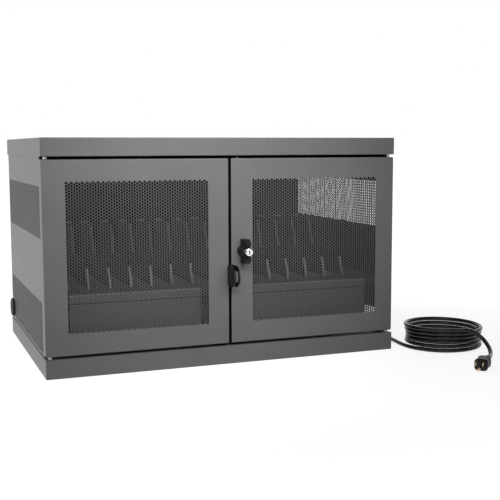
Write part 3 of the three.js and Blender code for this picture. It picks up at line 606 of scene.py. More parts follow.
class Panel:
    """Sheet metal drawn on a plane: u across, v up, and a depth behind the face."""

    def __init__(self, origin, across, up):
        self.origin = np.array(origin, float)
        self.across = np.array(across, float)
        self.up = np.array(up, float)
        self.inward = -np.cross(self.across, self.up)
        self.points = []
        self.faces = []
        self.index = {}

    def point(self, u, v, depth):
        key = tuple(round(value * POINTS_PER_MM) for value in (u, v, depth))
        if key not in self.index:
            self.index[key] = len(self.points)
            place = self.origin + self.across * u + self.up * v + self.inward * depth
            self.points.append(place * MM)
        return self.index[key]

    def face(self, *spots):
        """A face whose corners turn anticlockwise seen from outside."""
        corners = [self.point(*spot) for spot in spots]
        kept = [corner for place, corner in enumerate(corners) if corner != corners[place - 1]]
        if len(kept) > 2:
            self.faces.append(tuple(kept))

    def both(self, outline, front, back):
        """An outline on the sheet's face and back."""
        self.face(*[(u, v, front) for u, v in outline])
        self.face(*[(u, v, back) for u, v in reversed(outline)])

    def field(self, u0, v0, columns, rows, sheet, radius, sides, solid=None):
        """Punched holes in staggered columns, with a plain half cell at one end of each."""
        ring = circle((0, 0), radius, sides)
        share = sides // CELL_CORNERS
        half = HOLE_PITCH / 2
        for column in range(columns):
            left = u0 + column * HOLE_COLUMN
            right = left + HOLE_COLUMN
            middle = left + HOLE_COLUMN / 2
            start = v0 if column % 2 else v0 + half
            for row in range(rows):
                low = start + row * HOLE_PITCH
                high = low + HOLE_PITCH
                centre = low + half
                outer = [(right, centre), (right, high), (left, high)]
                outer += [(left, centre), (left, low), (right, low)]
                if solid and solid(middle, centre):
                    self.both(outer, 0, sheet)
                    continue
                hole = [(middle + du, centre + dv) for du, dv in ring]
                for edge in range(CELL_CORNERS):
                    inner = [hole[(edge * share + step) % sides] for step in range(share, -1, -1)]
                    self.both([outer[edge], outer[(edge + 1) % CELL_CORNERS], *inner], 0, sheet)
                for side in range(sides):
                    near = hole[side]
                    far = hole[(side + 1) % sides]
                    self.face((*near, 0), (*near, sheet), (*far, sheet), (*far, 0))
            plain = v0 + rows * HOLE_PITCH if column % 2 else v0
            end = plain + half
            self.both([(left, plain), (right, plain), (right, end), (left, end)], 0, sheet)

    def loop(self, u0, u1, v0, v1, inset, depth):
        """A line round a bent-up rectangle, inside its edge."""
        outline = rounded(u0 + inset, u1 - inset, v0 + inset, v1 - inset, max(BEND - inset, 0))
        return [(u, v, depth) for u, v in outline]

    def rings(self, u0, u1, v0, v1, profile):
        """Walls round a rectangle, from a row of (inset, depth)."""
        loops = [self.loop(u0, u1, v0, v1, inset, depth) for inset, depth in profile]
        for near, far in zip(loops, loops[1:]):
            for place, spot in enumerate(near):
                following = (place + 1) % len(near)
                self.face(spot, far[place], far[following], near[following])

    def lid(self, u0, u1, v0, v1, inset, depth, outward):
        """A flat face inside a rectangle's walls."""
        spots = self.loop(u0, u1, v0, v1, inset, depth)
        self.face(*(spots if outward else reversed(spots)))

    def frame_round(self, outer, inner, columns, half_rows, depth, outward):
        """A flat frame round a field, whose edge has a point at every cell."""
        (a0, b0, a1, b1), (u0, v0, u1, v1) = outer, inner
        us = [u0 + (u1 - u0) * step / columns for step in range(columns + 1)]
        vs = [v0 + (v1 - v0) * step / half_rows for step in range(half_rows + 1)]
        for outline in (
            [(a0, b0), (a1, b0), *[(u, v0) for u in reversed(us)]],
            [(a1, b0), (a1, b1), *[(u1, v) for v in reversed(vs)]],
            [(a1, b1), (a0, b1), *[(u, v1) for u in us]],
            [(a0, b1), (a0, b0), *[(u0, v) for v in vs]],
        ):
            spots = [(u, v, depth) for u, v in outline]
            self.face(*(spots if outward else reversed(spots)))

    def window(self, outer, u0, v0, columns, rows, sheet, radius, sides, solid=None):
        """A field of holes and the plain sheet round it."""
        self.field(u0, v0, columns, rows, sheet, radius, sides, solid)
        inner = (u0, v0, u0 + columns * HOLE_COLUMN, v0 + (rows + 0.5) * HOLE_PITCH)
        for depth, outward in ((0, True), (sheet, False)):
            self.frame_round(outer, inner, columns, 2 * rows + 1, depth, outward)

    def mesh(self):
        return mesh_from(self.points, self.faces)


def bend_profile():
    """An outer bend as (inset, depth), from the flat face to the side wall."""
    turns = [math.pi / 2 * step / BEND_STEPS for step in range(BEND_STEPS + 1)]
    return [(BEND * (1 - math.sin(turn)), BEND * (1 - math.cos(turn))) for turn in turns]


# Case

def make_tray(panel, depth):
    """A folded tray: its flat face, its four walls and its inside."""
    extent = (-HALF_WIDTH, HALF_WIDTH, -HALF_DEPTH, HALF_DEPTH)
    profile = bend_profile()
    profile += [(0, depth - EDGE), (EDGE, depth), (SHEET, depth), (SHEET, SHEET)]
    panel.rings(*extent, profile)
    panel.lid(*extent, BEND, 0, True)
    panel.lid(*extent, SHEET, SHEET, False)
    return panel.mesh()


def make_cap():
    """The top: a folded cap with a turned-in front lip, its inside painted near black as shade."""
    panel = Panel((0, 0, CASE_HEIGHT), (1, 0, 0), (0, 1, 0))
    cap = make_tray(panel, CASE_HEIGHT - CAP_FLOOR)
    side = HALF_WIDTH - SHEET
    outline = rounded(-side, side, -HALF_DEPTH + SHEET, CAP_LIP_BACK, EDGE)
    lip = plate([outline], "z", CAP_FLOOR, CAP_FLOOR + SHEET)
    inside = HALF_WIDTH - SHEET / 2, HALF_DEPTH - SHEET / 2, CASE_HEIGHT - SHEET / 2
    # Painted shade: the cap's inside
    painted(cap, 1, (-inside[0], -inside[1], CAP_FLOOR + EDGE), inside)
    add_piece("top_cap", merged(cap, lip), GRAPHITE, PAINTED_SHADE, name="cap_form")


def make_plinth():
    """The base: an open tray with rounded lower edges."""
    panel = Panel((0, 0, 0), (1, 0, 0), (0, -1, 0))
    add_piece("plinth_tray", make_tray(panel, PLINTH_HEIGHT), GRAPHITE, name="plinth_form")


def make_side(side, sign):
    """A side wall with two punched vents and plain sheet round its port; its inside and hole walls are
    painted near black as shade.
    """
    panel = Panel((sign * SIDE_FACE, 0, 0), (0, sign, 0), (0, 0, 1))
    vent_start = min(sign * VENT_FRONT, sign * (VENT_FRONT + VENT_COLUMNS * HOLE_COLUMN))
    start, end = sorted((sign * SHELL_FRONT, sign * BACK_FACE))
    floor, top = SHELL_FLOOR, SHELL_TOP
    low_vent, high_vent = VENT_FLOORS
    split = (low_vent + (VENT_ROWS + 0.5) * HOLE_PITCH + high_vent) / 2

    def by_port(u, v):
        return abs(u - sign * PORT_Y) < PORT_PLAIN and v < PORT_Z + PORT_PLAIN

    for vent, low, high, solid in ((low_vent, floor, split, by_port), (high_vent, split, top, None)):
        panel.window((start, low, end, high), vent_start, vent, VENT_COLUMNS, VENT_ROWS, VENT_SHEET,
                     VENT_RADIUS, VENT_SIDES, solid)
    rim = [(start, floor), (end, floor), (end, split), (end, top), (start, top), (start, split)]
    for place, near in enumerate(rim):
        far = rim[(place + 1) % len(rim)]
        panel.face((*near, 0), (*near, VENT_SHEET), (*far, VENT_SHEET), (*far, 0))
    inside = SIDE_FACE - VENT_DARK_DEPTH, HALF_DEPTH, CASE_HEIGHT
    # Painted shade: the side's inside and its hole walls
    mesh = painted(panel.mesh(), 1, (-inside[0], -inside[1], 0), inside)
    add_piece(f"{side}_side_panel", mesh, GRAPHITE, PAINTED_SHADE, name=f"{side}_side_form")


def make_back():
    """The back wall, its inside painted near black as shade, held by button-head screws."""
    half = SIDE_FACE - VENT_SHEET - EDGE / 2
    floor, top = SHELL_FLOOR, SHELL_TOP
    outline = rounded(-half, half, floor, top, EDGE)
    sheet = plate([outline], "y", BACK_FACE - SHEET, BACK_FACE)
    # Painted shade: the back's inside
    parts = [painted(sheet, 1, (-half, 0, floor), (half, BACK_FACE - SHEET / 2, top))]
    for x in BACK_SCREWS:
        for z in BACK_SCREW_LEVELS:
            parts.append(painted(turned((x, BACK_FACE, z), (0, 1, 0), SCREW_HEAD, sides=24), 2))
    add_piece("back_panel", merged(*parts), GRAPHITE, PAINTED_SHADE, ZINC)


def make_door(side, sign):
    """A door: a folded pan with a punched window, a turned-in lip and a meeting edge painted near black as
    shade.
    """
    panel = Panel((0, DOOR_FACE, 0), (1, 0, 0), (0, 0, 1))
    u0, u1 = sorted((sign * DOOR_INNER, sign * (DOOR_OUTER + DOOR_OVERLAP)))
    back = DOOR_BACK - DOOR_FACE
    profile = bend_profile()
    profile += [(0, back - DOOR_BACK_EDGE), (DOOR_BACK_EDGE, back), (DOOR_LIP, back)]
    profile += [(DOOR_LIP, back - DOOR_SHEET), (DOOR_SHEET, back - DOOR_SHEET)]
    profile += [(DOOR_SHEET, DOOR_SHEET), (BEND, DOOR_SHEET)]
    panel.rings(u0, u1, DOOR_FLOOR, DOOR_TOP, profile)
    outer = (u0 + BEND, DOOR_FLOOR + BEND, u1 - BEND, DOOR_TOP - BEND)
    panel.window(outer, WINDOW_LEFT[side], WINDOW_FLOOR, WINDOW_COLUMNS, WINDOW_ROWS, DOOR_SHEET,
                 HOLE_RADIUS, HOLE_SIDES)
    # Painted shade: the meeting edge and the lip behind it
    dark = sorted((sign * (DOOR_INNER - EDGE), sign * (DOOR_INNER + DOOR_LIP)))
    low = (dark[0], DOOR_FACE + BEND, 0)
    high = (dark[1], 0, CASE_HEIGHT)
    add_piece(f"{side}_door", painted(panel.mesh(), 1, low, high), GRAPHITE, PAINTED_SHADE)


def make_cover(side):
    """An adapter cover: a panel, a groove whose web is painted near black as shade, and a strip whose
    rolled edge carries a painted highlight.
    """
    node = f"{side}_adapter_cover"
    low, high = box_of(node)
    face = low.y
    strip = face + COVER_JOGGLE
    seam = high.z - COVER_STRIP
    web_low, web_high = (seam + level for level in COVER_WEB_LEVELS)
    web_front, web_back = (face + depth for depth in COVER_WEB_DEPTHS)

    def sheet(v0, v1, corner, direction, front, back):
        return plate([rounded(low.x, high.x, v0, v1, corner)], direction, front, back)

    profile = chamfered(COVER_ROLL, 0, high.x - low.x, FINE_EDGE)
    roll = turned((low.x, strip + COVER_ROLL, high.z - COVER_ROLL), (1, 0, 0), profile, sides=20)
    parts = [
        sheet(low.z, seam - COVER_GROOVE, COVER_CORNER, "y", face, face + SHEET),
        sheet(seam, high.z - COVER_ROLL, COVER_BEND, "y", strip, strip + SHEET),
        # Painted highlight: the rolled edge
        painted(roll, 2),
        sheet(face + 2 * COVER_ROLL, high.y, COVER_BEND, "z", high.z - SHEET, high.z),
        # Painted shade: the web behind the groove
        painted(sheet(web_low, web_high, COVER_BEND, "y", web_front, web_back), 1),
    ]
    # The cover's panel coat carries painted shade
    soften(add_piece(node, merged(*parts), COVER_SHADE_COAT, PAINTED_SHADE, PAINTED_HIGHLIGHT_TRIM), EDGE, segments=2)


make_cap()
make_plinth()
make_back()
for side, sign in SIDES:
    make_side(side, sign)
    make_door(side, sign)
    # Painted shade: the front posts
    dressed(f"{side}_front_post", SOFT_EDGE, PAINTED_SHADE)
    # Painted shade: the shelf hangers
    dressed(f"{side}_shelf_hanger", EDGE, INTERIOR_SHADE)
    make_cover(side)
dressed("floor_panel", EDGE, GRAPHITE)
# Painted shade: the device shelf
dressed("device_shelf", EDGE, INTERIOR_SHADE)


# Dividers

def divider_edge():
    """A divider's front and top edge as (Y, Z), from its front foot."""
    lean = DIVIDER_LEAN
    corner = Vector((DIVIDER_FRONT + lean * (DIVIDER_LOW - DIVIDER_FLOOR), DIVIDER_LOW))
    down = Vector((-lean, -1)).normalized()
    start = corner + down * DIVIDER_ROUND
    end = corner + Vector((DIVIDER_ROUND, 0))
    path = [(DIVIDER_FRONT, DIVIDER_FLOOR)]
    for step in range(DIVIDER_ROUND_STEPS + 1):
        share = step / DIVIDER_ROUND_STEPS
        path.append(start * (1 - share) ** 2 + corner * (2 * share * (1 - share)) + end * share ** 2)
    rise = DIVIDER_TALL - DIVIDER_LOW
    path += [(DIVIDER_STEP, DIVIDER_LOW), (DIVIDER_STEP + lean * rise, DIVIDER_TALL)]
    path.append((DIVIDER_BACK, DIVIDER_TALL))
    return [tuple(spot) for spot in path]


def make_divider(index):
    """A steel plate with a folded back edge and a trim on its free edges: a painted highlight along its
    front edge, painted shade behind.
    """
    node = f"divider_{index:02d}"
    low, high = box_of(node)
    x = (low.x + high.x) / 2
    edge = divider_edge()
    fold = DIVIDER_BACK - (high.x - low.x)
    sheet = plate([[*edge, (DIVIDER_BACK, DIVIDER_FLOOR)]], "x", low.x, high.x)
    outline = rounded(high.x, x + DIVIDER_FLANGE, DIVIDER_FLOOR, DIVIDER_TALL, EDGE)
    flange = plate([outline], "y", fold, DIVIDER_BACK)
    wide = TRIM_WIDTH / 2
    crown = [(share * wide, depth) for share, depth in TRIM_CROWN]
    bead = [(-wide, TRIM_DEPTH), *crown, (wide, TRIM_DEPTH)]
    front = swept(edge, [(x + across, depth) for across, depth in bead])
    # Painted highlight on the front edge below its rounding, painted shade on the step's edge; the rest
    # keeps the plate's coat
    highlight_top = DIVIDER_LOW - DIVIDER_ROUND
    for shade, foot, top in ((1, DIVIDER_FRONT, highlight_top), (2, DIVIDER_STEP, CASE_HEIGHT)):
        painted(front, shade, (-HALF_WIDTH, foot - TRIM_BEFORE, 0), (HALF_WIDTH, foot + TRIM_BEHIND, top))
    middle = (fold + DIVIDER_BACK) / 2
    section = [(middle + across, DIVIDER_TALL - depth) for across, depth in bead]
    # Painted shade: the back edge's trim
    back = painted(plate([section], "x", x + wide, x + DIVIDER_FLANGE), 2)
    add_piece(node, merged(sheet, flange, front, back), DIVIDER_DARK_AND_SHADE, PAINTED_HIGHLIGHT_TRIM, PAINTED_SHADE_TRIM)


for index in range(1, DIVIDER_COUNT + 1):
    make_divider(index)


# Outlet strips

def make_strip(side, sign):
    """An outlet strip: its housing and its outlet faces."""
    node = f"{side}_outlet_strip"
    low, high = box_of(node)
    wide, tall = OUTLET_HALF_SIZE
    front, back = (low.y + depth for depth in OUTLET_DEPTHS)
    middle = (low.z + high.z) / 2
    level = middle + SLOT_RISE
    inner = min(abs(low.x), abs(high.x))
    parts = [form_of(node)]
    for outlet in range(OUTLET_COUNT):
        x = sign * (inner + STRIP_END + (outlet + 0.5) * OUTLET_PITCH)
        loops = [rounded(x - wide, x + wide, middle - tall, middle + tall, OUTLET_CORNER)]
        for across, reach in OUTLET_SLOTS:
            left = x + across - SLOT_HALF_WIDTH
            right = x + across + SLOT_HALF_WIDTH
            loops.append(rounded(left, right, level - reach, level + reach, SLOT_CORNER, steps=2))
        loops.append(circle((x, middle + GROUND_HOLE_RISE), GROUND_HOLE_RADIUS, sides=20))
        parts.append(plate(loops, "y", front, back))
    soften(add_piece(node, merged(*parts), PLASTIC), FINE_EDGE, segments=2)


def make_rocker(side):
    """A rocker switch with a dished face."""
    node = f"{side}_rocker_switch"
    low, high = box_of(node)
    dip = (low.y + ROCKER_DIP, (low.z + high.z) / 2)
    outline = [(high.y, low.z), (low.y, low.z), dip, (low.y, high.z), (high.y, high.z)]
    mesh = plate([outline], "x", low.x, high.x)
    soften(add_piece(node, mesh, PLASTIC), ROCKER_EDGE, angle=12)


for side, sign in SIDES:
    make_strip(side, sign)
    make_rocker(side)


# Lock, hasp and hinges

def make_knob():
    """A wing knob: a fin hollowed round the lock plug, a hub and a spindle."""
    low, high = box_of("wing_knob")
    back = box_of("lock_escutcheon")[0].y - SEAT
    turn = math.degrees(math.acos(KNOB_DISH_RISE / KNOB_DISH))
    hollow = arc((low.y - KNOB_DISH_RISE, LOCK_Z), KNOB_DISH, -turn, turn, steps=14)
    brow = low.y + KNOB_SLOPE
    outline = [(back, low.z), (brow, low.z), *hollow, (brow, high.z), (back, high.z)]
    half = KNOB_THICKNESS / 2
    fin = plate([outline], "x", LOCK_X - half, LOCK_X + half)
    radius = high.x - LOCK_X
    foot = high.y - back
    face = high.y - LOCK_PLUG_BACK
    profile = [(SPINDLE_RADIUS, 0), (SPINDLE_RADIUS, foot), (radius - HUB_CHAMFER, foot)]
    profile += [(radius, foot + HUB_CHAMFER), *tipped(radius, face, HUB_TIP)]
    profile += [(LOCK_PLUG_RADIUS + SEAT, face - inset) for inset in HUB_MOUTH]
    hub = turned((LOCK_X, high.y, LOCK_Z), (0, -1, 0), profile)
    soften(add_piece("wing_knob", merged(fin, hub), PLASTIC), KNOB_EDGE, segments=4)


def make_lock_plug():
    """A chrome lock plug whose keyway floor is painted near black as shade."""
    slot_floor = LOCK_PLUG_FACE + KEYWAY_DEPTH
    step = LOCK_PLUG_BACK - slot_floor
    radius = LOCK_PLUG_RADIUS
    profile = [(radius, 0), (radius, step - EDGE), (radius - EDGE, step)]
    body = turned((LOCK_X, LOCK_PLUG_BACK, LOCK_Z), (0, -1, 0), profile)
    floor_middle = Vector((LOCK_X, slot_floor, LOCK_Z))
    around = Vector((EDGE, EDGE / 4, EDGE))
    # Painted shade: the keyway's floor
    painted(body, 1, floor_middle - around, floor_middle + around)
    keyway = [(LOCK_X + across, LOCK_Z + up) for across, up in KEYWAY]
    loops = [circle((LOCK_X, LOCK_Z), radius - EDGE), keyway]
    mesh = merged(body, plate(loops, "y", LOCK_PLUG_FACE, slot_floor))
    soften(add_piece("lock_plug", mesh, CHROME, PAINTED_SHADE), LOCK_PLUG_EDGE)


def make_escutcheon():
    """The raised ring that the knob turns on."""
    low, high = box_of("lock_escutcheon")
    radius = high.x - LOCK_X
    end = high.y - low.y
    inner = SPINDLE_RADIUS + SPINDLE_CLEARANCE
    profile = [(inner, 0), (radius, 0), *tipped(radius, end, ESCUTCHEON_TIP), (inner, end)]
    mesh = turned((LOCK_X, high.y, LOCK_Z), (0, -1, 0), profile, sides=56, closed=True)
    add_piece("lock_escutcheon", mesh, PLASTIC)


def make_hasp(side):
    """A padlock tab with a round end; the right one has a wide opening."""
    node = f"{side}_hasp_tab"
    low, high = box_of(node)
    radius = (high.z - low.z) / 2
    level = (high.z + low.z) / 2
    centre = (low.y + radius, level)
    outline = [(high.y, high.z), *arc(centre, radius, 90, 270, steps=24), (high.y, low.z)]
    hole = circle((HASP_HOLE_Y, level), HASP_HOLE_RADIUS, sides=28)
    if side == "right":
        hole = arc(centre, radius - HASP_RIM, 180 - HASP_TURN, 180 + HASP_TURN, steps=14)
        hole += [(HASP_OPENING_BACK, hole[-1][1]), (HASP_OPENING_BACK, hole[0][1])]
    mesh = plate([outline, hole], "x", low.x, high.x)
    soften(add_piece(node, mesh, BLACK_STEEL), SOFT_EDGE)


def make_hinge_pin(side, level):
    """A hinge pin with a collar."""
    node = f"{side}_{level}_hinge_pin"
    low, high = box_of(node)
    down = -1 if level == "upper" else 1
    at = (*middle_of(node).xy, low.z if down == 1 else high.z)
    length = high.z - low.z
    wide = length - HINGE_PIN_REACH - SEAT
    profile = chamfered(HINGE_COLLAR_RADIUS, 0, wide, SOFT_EDGE)
    profile += [(HINGE_PIN_RADIUS, wide), *tipped(HINGE_PIN_RADIUS, length, HINGE_PIN_TIP)]
    add_piece(node, turned(at, (0, 0, down), profile), ZINC)


def make_rod(level):
    """A locking rod with a tapered tip."""
    node = f"{level}_lock_rod"
    low, high = box_of(node)
    up = 1 if level == "upper" else -1
    at = (*middle_of(node).xy, low.z if up == 1 else high.z)
    radius = (high.x - low.x) / 2
    profile = [(radius - ROD_CHAMFER, 0), (radius, ROD_CHAMFER), *tipped(radius, high.z - low.z, ROD_TIP)]
    add_piece(node, turned(at, (0, 0, up), profile, sides=32), ROD_ZINC)


make_knob()
make_lock_plug()
make_escutcheon()
dressed("lock_cam", EDGE, ZINC)
for level in ("upper", "lower"):
    make_rod(level)
    dressed(f"{level}_rod_guide", SOFT_EDGE, ZINC)
for side in ("left", "right"):
    make_hasp(side)
    for level in ("upper", "lower"):
        make_hinge_pin(side, level)


# Ports

def port_neck(neck):
    """The profile of a port's neck, up to its flange."""
    radius, cut = PORT_NECK_RADIUS, PORT_NECK_CHAMFER
    return [(radius - cut, 0), (radius, cut), (radius, neck), (PORT_FLANGE_RADIUS, neck)]


def relief_profile(start, end, first, last):
    """The profile of a tapered strain relief with grooves."""
    profile = []
    for ring in range(RELIEF_RINGS):
        for place, groove in RELIEF_GROOVES:
            share = (ring + place) / RELIEF_RINGS
            profile.append((first + (last - first) * share - groove, start + (end - start) * share))
    return [*profile, *tipped(last, end, RELIEF_END)]


def make_port_cap():
    """A blank port cap: a flange with a shallow dish."""
    low, high = box_of("left_port_cap")
    profile = port_neck(high.x + SIDE_FACE + SEAT)
    profile += tipped(PORT_FLANGE_RADIUS, high.x - low.x, PORT_CAP_TIP)
    mesh = turned((high.x, PORT_Y, PORT_Z), (-1, 0, 0), profile, sides=56)
    add_piece("left_port_cap", mesh, PLASTIC)


def make_gland():
    """The cord gland: a flange and a strain relief."""
    low, high = box_of("cord_gland")
    neck = SIDE_FACE + SEAT - low.x
    face = neck + GLAND_FLANGE
    profile = [*port_neck(neck), *tipped(PORT_FLANGE_RADIUS, face, GLAND_TIP)]
    profile += relief_profile(face + GLAND_RELIEF_START, high.x - low.x, RELIEF_ROOT, RELIEF_TIP)
    mesh = turned((low.x, PORT_Y, PORT_Z), (1, 0, 0), profile, sides=48)
    add_piece("cord_gland", mesh, PLASTIC)


make_port_cap()
make_gland()


# Cord and plug

def smooth_route(points, step):
    """A centripetal curve through points, sampled about every step."""
    spots = [Vector(point) for point in points]
    spots.insert(0, spots[0] * 2 - spots[1])
    spots.append(spots[-1] * 2 - spots[-2])
    samples = []
    for place in range(1, len(spots) - 2):
        before, near, far, after = spots[place - 1:place + 3]
        gaps = [math.sqrt((b - a).length) for a, b in ((before, near), (near, far), (far, after))]
        leave = (near - before) / gaps[0] - (far - before) / (gaps[0] + gaps[1]) + (far - near) / gaps[1]
        arrive = (far - near) / gaps[1] - (after - near) / (gaps[1] + gaps[2]) + (after - far) / gaps[2]
        leave *= gaps[1]
        arrive *= gaps[1]
        count = max(2, round((far - near).length / step))
        for share in np.linspace(0, 1, count, endpoint=False):
            cubic = 2 * share ** 3 - 3 * share ** 2 + 1
            samples.append(near * cubic + leave * (share ** 3 - 2 * share ** 2 + share)
                           + far * (1 - cubic) + arrive * (share ** 3 - share ** 2))
    samples.append(spots[-2])
    return samples


def cord_route():
    """The cord's centre line from its gland through the coil to the plug."""
    end_angle = COIL_START + COIL_TURNS * 360

    def on_coil(angle):
        turn = math.radians(angle)
        laps = (angle - COIL_START) / 360
        whole = math.floor(laps)
        part = laps - whole
        radius = COIL_RADII[whole] * (1 - part) + COIL_RADII[whole + 1] * part
        return Vector((COIL_CENTRE[0] + radius * math.cos(turn),
                       COIL_CENTRE[1] + radius * math.sin(turn), CORD_FLOOR + laps * COIL_RISE))

    def heading(angle):
        turn = math.radians(angle)
        return Vector((-math.sin(turn), math.cos(turn), 0))

    enter = heading(COIL_START)
    leave = heading(end_angle)
    plug_way = Vector((*PLUG_HEADING, 0)).normalized()
    count = round(COIL_TURNS * COIL_STEPS)
    coil = [on_coil(COIL_START + COIL_TURNS * 360 * step / count) for step in range(count + 1)]
    lead_end = coil[0] - enter * (SHORT_STRAIGHT + SEAT)
    lead_near = lead_end - enter * LONG_STRAIGHT
    lead = smooth_route([CORD_EXIT, *LEAD_ROUTE, lead_near, lead_end], CORD_STEP)
    tail_start = coil[-1] + leave * (SHORT_STRAIGHT + SEAT)
    tail_near = tail_start + leave * SHORT_STRAIGHT
    tail_end = Vector(PLUG_ENTRY) - plug_way * SEAT
    tail_beside = tail_end - plug_way * LONG_STRAIGHT
    tail = smooth_route([tail_start, tail_near, *TAIL_ROUTE, tail_beside, tail_end], CORD_STEP)
    return [*lead, *coil, *tail]


def make_cord():
    """The supply cord as one round curve, and its length in metres."""
    route = [point * MM for point in cord_route()]
    curve = bpy.data.curves.new("supply_cord", "CURVE")
    curve.dimensions = "3D"
    spline = curve.splines.new("POLY")
    spline.points.add(len(route) - 1)
    for spot, point in zip(spline.points, route):
        spot.co = (*point, 1)
    spline.use_smooth = True
    curve.bevel_depth = CORD_RADIUS * MM
    curve.bevel_resolution = 6
    curve.use_fill_caps = True
    curve.materials.append(JACKET)
    cord = put("supply_cord", curve)
    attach(cord, "cabinet")
    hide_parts("cord_lead", "cord_coil", "cord_tail")
    length = sum((far - near).length for near, far in zip(route, route[1:]))
    return cord, length


def make_links():
    """The short leads between the strips and the gland, with a bush at each end."""
    for node in ("strip_link_lead", "supply_link_lead"):
        low, high = box_of(node)
        at = (low.x, *middle_of(node).yz)
        length = high.x - low.x
        far_bush = [(radius, length - distance) for radius, distance in reversed(LINK_BUSH)]
        mesh = turned(at, (1, 0, 0), [*LINK_BUSH, *far_bush], sides=32)
        add_piece(node, mesh, JACKET)


def plug_turn():
    """From the plug's own axes to the cabinet's."""
    along, across = PLUG_HEADING
    turn = Matrix.Rotation(math.atan2(across, along), 4, "Z")
    return Matrix.Translation(Vector(PLUG_ENTRY) * MM) @ turn


def plug_ring(distance, half_width, half_height, square=PLUG_SQUARE):
    """A cross-section of the plug, between a circle and a rounded box."""
    ring = []
    for side in range(PLUG_SIDES):
        turn = 2 * math.pi * (side + 0.5) / PLUG_SIDES
        across, up = math.cos(turn), math.sin(turn)
        ring.append((distance, math.copysign(abs(across) ** (2 / square), across) * half_width,
                     math.copysign(abs(up) ** (2 / square), up) * half_height))
    return ring


def make_plug_body():
    """The moulded plug: a relief that swells into a waisted, ribbed grip."""
    rings = []
    for radius, distance in relief_profile(0.0, PLUG_RELIEF, RELIEF_TIP, RELIEF_ROOT)[:-2]:
        rings.append(plug_ring(distance, radius, radius, PLUG_ROUND))
    for step in range(PLUG_SHOULDER_STEPS + 1):
        share = step / PLUG_SHOULDER_STEPS
        ease = share * share * (3 - 2 * share)
        half_width = RELIEF_ROOT + (PLUG_HALF_WIDTH - RELIEF_ROOT) * ease
        half_height = RELIEF_ROOT + (PLUG_HALF_HEIGHT - RELIEF_ROOT) * ease
        square = PLUG_ROUND + (PLUG_SQUARE - PLUG_ROUND) * ease
        rings.append(plug_ring(PLUG_RELIEF + PLUG_SHOULDER * share, half_width, half_height, square))
    shoulder = PLUG_RELIEF + PLUG_SHOULDER
    grip = PLUG_LENGTH - PLUG_RIM - shoulder
    for step in range(1, PLUG_GRIP_STEPS + 1):
        share = step / PLUG_GRIP_STEPS
        waist = PLUG_WAIST * math.sin(math.pi * share) + PLUG_RIB * (step % 2) * (step < PLUG_GRIP_STEPS)
        half_height = PLUG_HALF_HEIGHT - waist * PLUG_WAIST_SHARE
        rings.append(plug_ring(shoulder + grip * share, PLUG_HALF_WIDTH - waist, half_height))
    rings.append(plug_ring(PLUG_LENGTH - PLUG_FACE_EDGE, PLUG_HALF_WIDTH, PLUG_HALF_HEIGHT))
    inset = PLUG_FACE_INSET
    rings.append(plug_ring(PLUG_LENGTH, PLUG_HALF_WIDTH - inset, PLUG_HALF_HEIGHT - inset))
    body = skin(rings)
    body.transform(plug_turn())
    return add_piece("plug_body", body, PLASTIC)


def make_blade(node, hand):
    """A flat blade with a tapered tip and a hole."""
    back = PLUG_LENGTH - BLADE_ROOT
    tip = PLUG_LENGTH + BLADE_LENGTH
    low = BLADE_RISE - BLADE_WIDTH / 2
    high = BLADE_RISE + BLADE_WIDTH / 2
    along, up = BLADE_TAPER
    outline = [(back, low), (tip - along, low), (tip, low + up)]
    outline += [(tip, high - up), (tip - along, high), (back, high)]
    hole = circle((tip - BLADE_HOLE_BACK, BLADE_RISE), BLADE_HOLE_RADIUS, sides=20)
    middle = hand * BLADE_SPACING / 2
    half = BLADE_THICKNESS / 2
    blade = plate([outline, hole], "y", middle - half, middle + half)
    blade.transform(plug_turn())
    return soften(add_piece(node, blade, BRASS), FINE_EDGE, segments=2)


def make_ground_pin():
    """The round ground pin."""
    profile = [(GROUND_RADIUS, -BLADE_ROOT), *tipped(GROUND_RADIUS, GROUND_LENGTH, GROUND_TIP)]
    pin = turned((PLUG_LENGTH, 0, GROUND_RISE), (1, 0, 0), profile, sides=28)
    pin.transform(plug_turn())
    return add_piece("plug_ground_pin", pin, BRASS)


cord, cord_length = make_cord()
make_links()
plug_pieces = [make_plug_body(), make_blade("plug_live_blade", -1),
               make_blade("plug_neutral_blade", 1), make_ground_pin()]


# Floor, light and camera

def joined(tree, operation, first, *others):
    """The largest or the product of a socket and other sockets or numbers."""
    for other in others:
        node = tree.nodes.new("ShaderNodeMath")
        node.operation = operation
        tree.links.new(first, node.inputs[0])
        if isinstance(other, float):
            node.inputs[1].default_value = other
        else:
            tree.links.new(other, node.inputs[1])
        first = node.outputs["Value"]
    return first


def rays(tree):
    """Whether a ray is the camera's own, a reflected or a transmitted one."""
    path = tree.nodes.new("ShaderNodeLightPath")
    return [path.outputs[f"Is {kind} Ray"] for kind in ("Camera", "Glossy", "Transmission")]


def make_floor():
    """A floor that looks white and keeps the object's shadow."""
    reach = FLOOR_REACH
    corners = [(-reach, -reach, 0), (reach, -reach, 0), (reach, reach, 0), (-reach, reach, 0)]
    mesh = mesh_from(corners, [(0, 1, 2, 3)])
    floor = put("floor", mesh)
    recipe = Recipe("floor_white")
    recipe.set(Base_Color=FLOOR_GREY, Roughness=0.9, Emission_Color=(1, 1, 1, 1))
    distance = recipe.tree.nodes.new("ShaderNodeVectorMath")
    distance.operation = "LENGTH"
    recipe.link(recipe.place, distance.inputs[0])
    fade = mapped(recipe.tree, distance.outputs["Value"], FLOOR_FADE, FLOOR_GLOW)
    seen = joined(recipe.tree, "MAXIMUM", *rays(recipe.tree))
    recipe.link(joined(recipe.tree, "MULTIPLY", seen, fade), recipe.shader.inputs["Emission Strength"])
    mesh.materials.append(recipe.material)


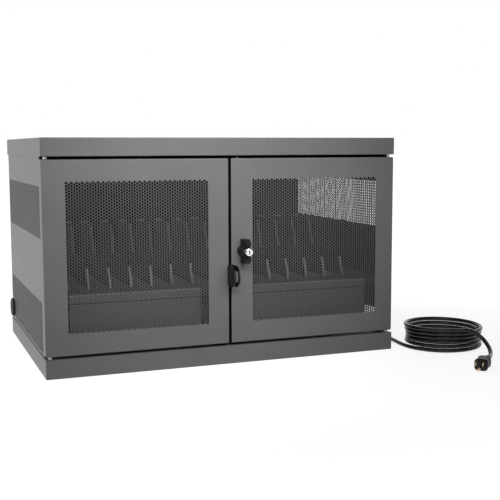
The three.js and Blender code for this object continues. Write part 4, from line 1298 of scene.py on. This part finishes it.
def make_world():
    """Studio surroundings: white to the camera and, in reflections, dim in front of the object."""
    world = bpy.data.worlds.new("studio")
    bpy.context.scene.world = world
    world.use_nodes = True
    tree = world.node_tree
    way = tree.nodes.new("ShaderNodeSeparateXYZ")
    tree.links.new(tree.nodes.new("ShaderNodeTexCoord").outputs["Generated"], way.inputs["Vector"])
    backdrop = mapped(tree, way.outputs["Y"], BACKDROP_TURN, (ROOM_DIM, 1.0))
    camera, glossy, through = rays(tree)
    mirrored = joined(tree, "MULTIPLY", glossy, backdrop)
    strength = joined(tree, "MAXIMUM", camera, through, mirrored, ROOM_LIGHT)
    background = tree.nodes["Background"]
    background.inputs["Color"].default_value = (1, 1, 1, 1)
    tree.links.new(strength, background.inputs["Strength"])


def add_lamp(name, place, target, size, power, spread=180, colour=(1, 1, 1)):
    """A rectangular lamp at a place in metres, turned to its target."""
    data = bpy.data.lights.new(name, "AREA")
    data.shape = "RECTANGLE"
    data.size, data.size_y = size
    data.energy = power
    data.color = colour
    data.spread = math.radians(spread)
    lamp = put(name, data)
    lamp.location = place
    lamp.rotation_mode = "QUATERNION"
    lamp.rotation_quaternion = (Vector(target) - Vector(place)).to_track_quat("-Z", "Y")


def make_camera():
    """The photograph's camera."""
    data = bpy.data.cameras.new("camera")
    data.sensor_width = CAMERA_SENSOR
    data.lens = CAMERA_LENS
    data.clip_end = CAMERA_REACH
    camera = put("camera", data)
    view = Matrix.Translation(Vector(CAMERA_PLACE) * MM)
    for angle, axis in ((-CAMERA_YAW, "Z"), (90 - CAMERA_PITCH, "X"), (CAMERA_ROLL, "Z")):
        view = view @ Matrix.Rotation(math.radians(angle), 4, axis)
    camera.matrix_world = view
    bpy.context.scene.camera = camera


make_floor()
make_world()
add_lamp("left_softbox", place=(-3.2, 0.7, 1.3), target=(-0.3, 0, 0.25), size=(1.6, 1.8), power=50,
         colour=(1, 0.985, 0.955))
for number, across in enumerate((-0.55, -0.1, 0.35), 1):
    add_lamp(f"front_softbox_{number}", place=(across, -1.3, 1.0), target=(-0.05, -0.24, 0.36),
             size=(0.6, 0.42), power=0.7, spread=46)
make_camera()
bpy.context.scene.view_settings.view_transform = "Standard"
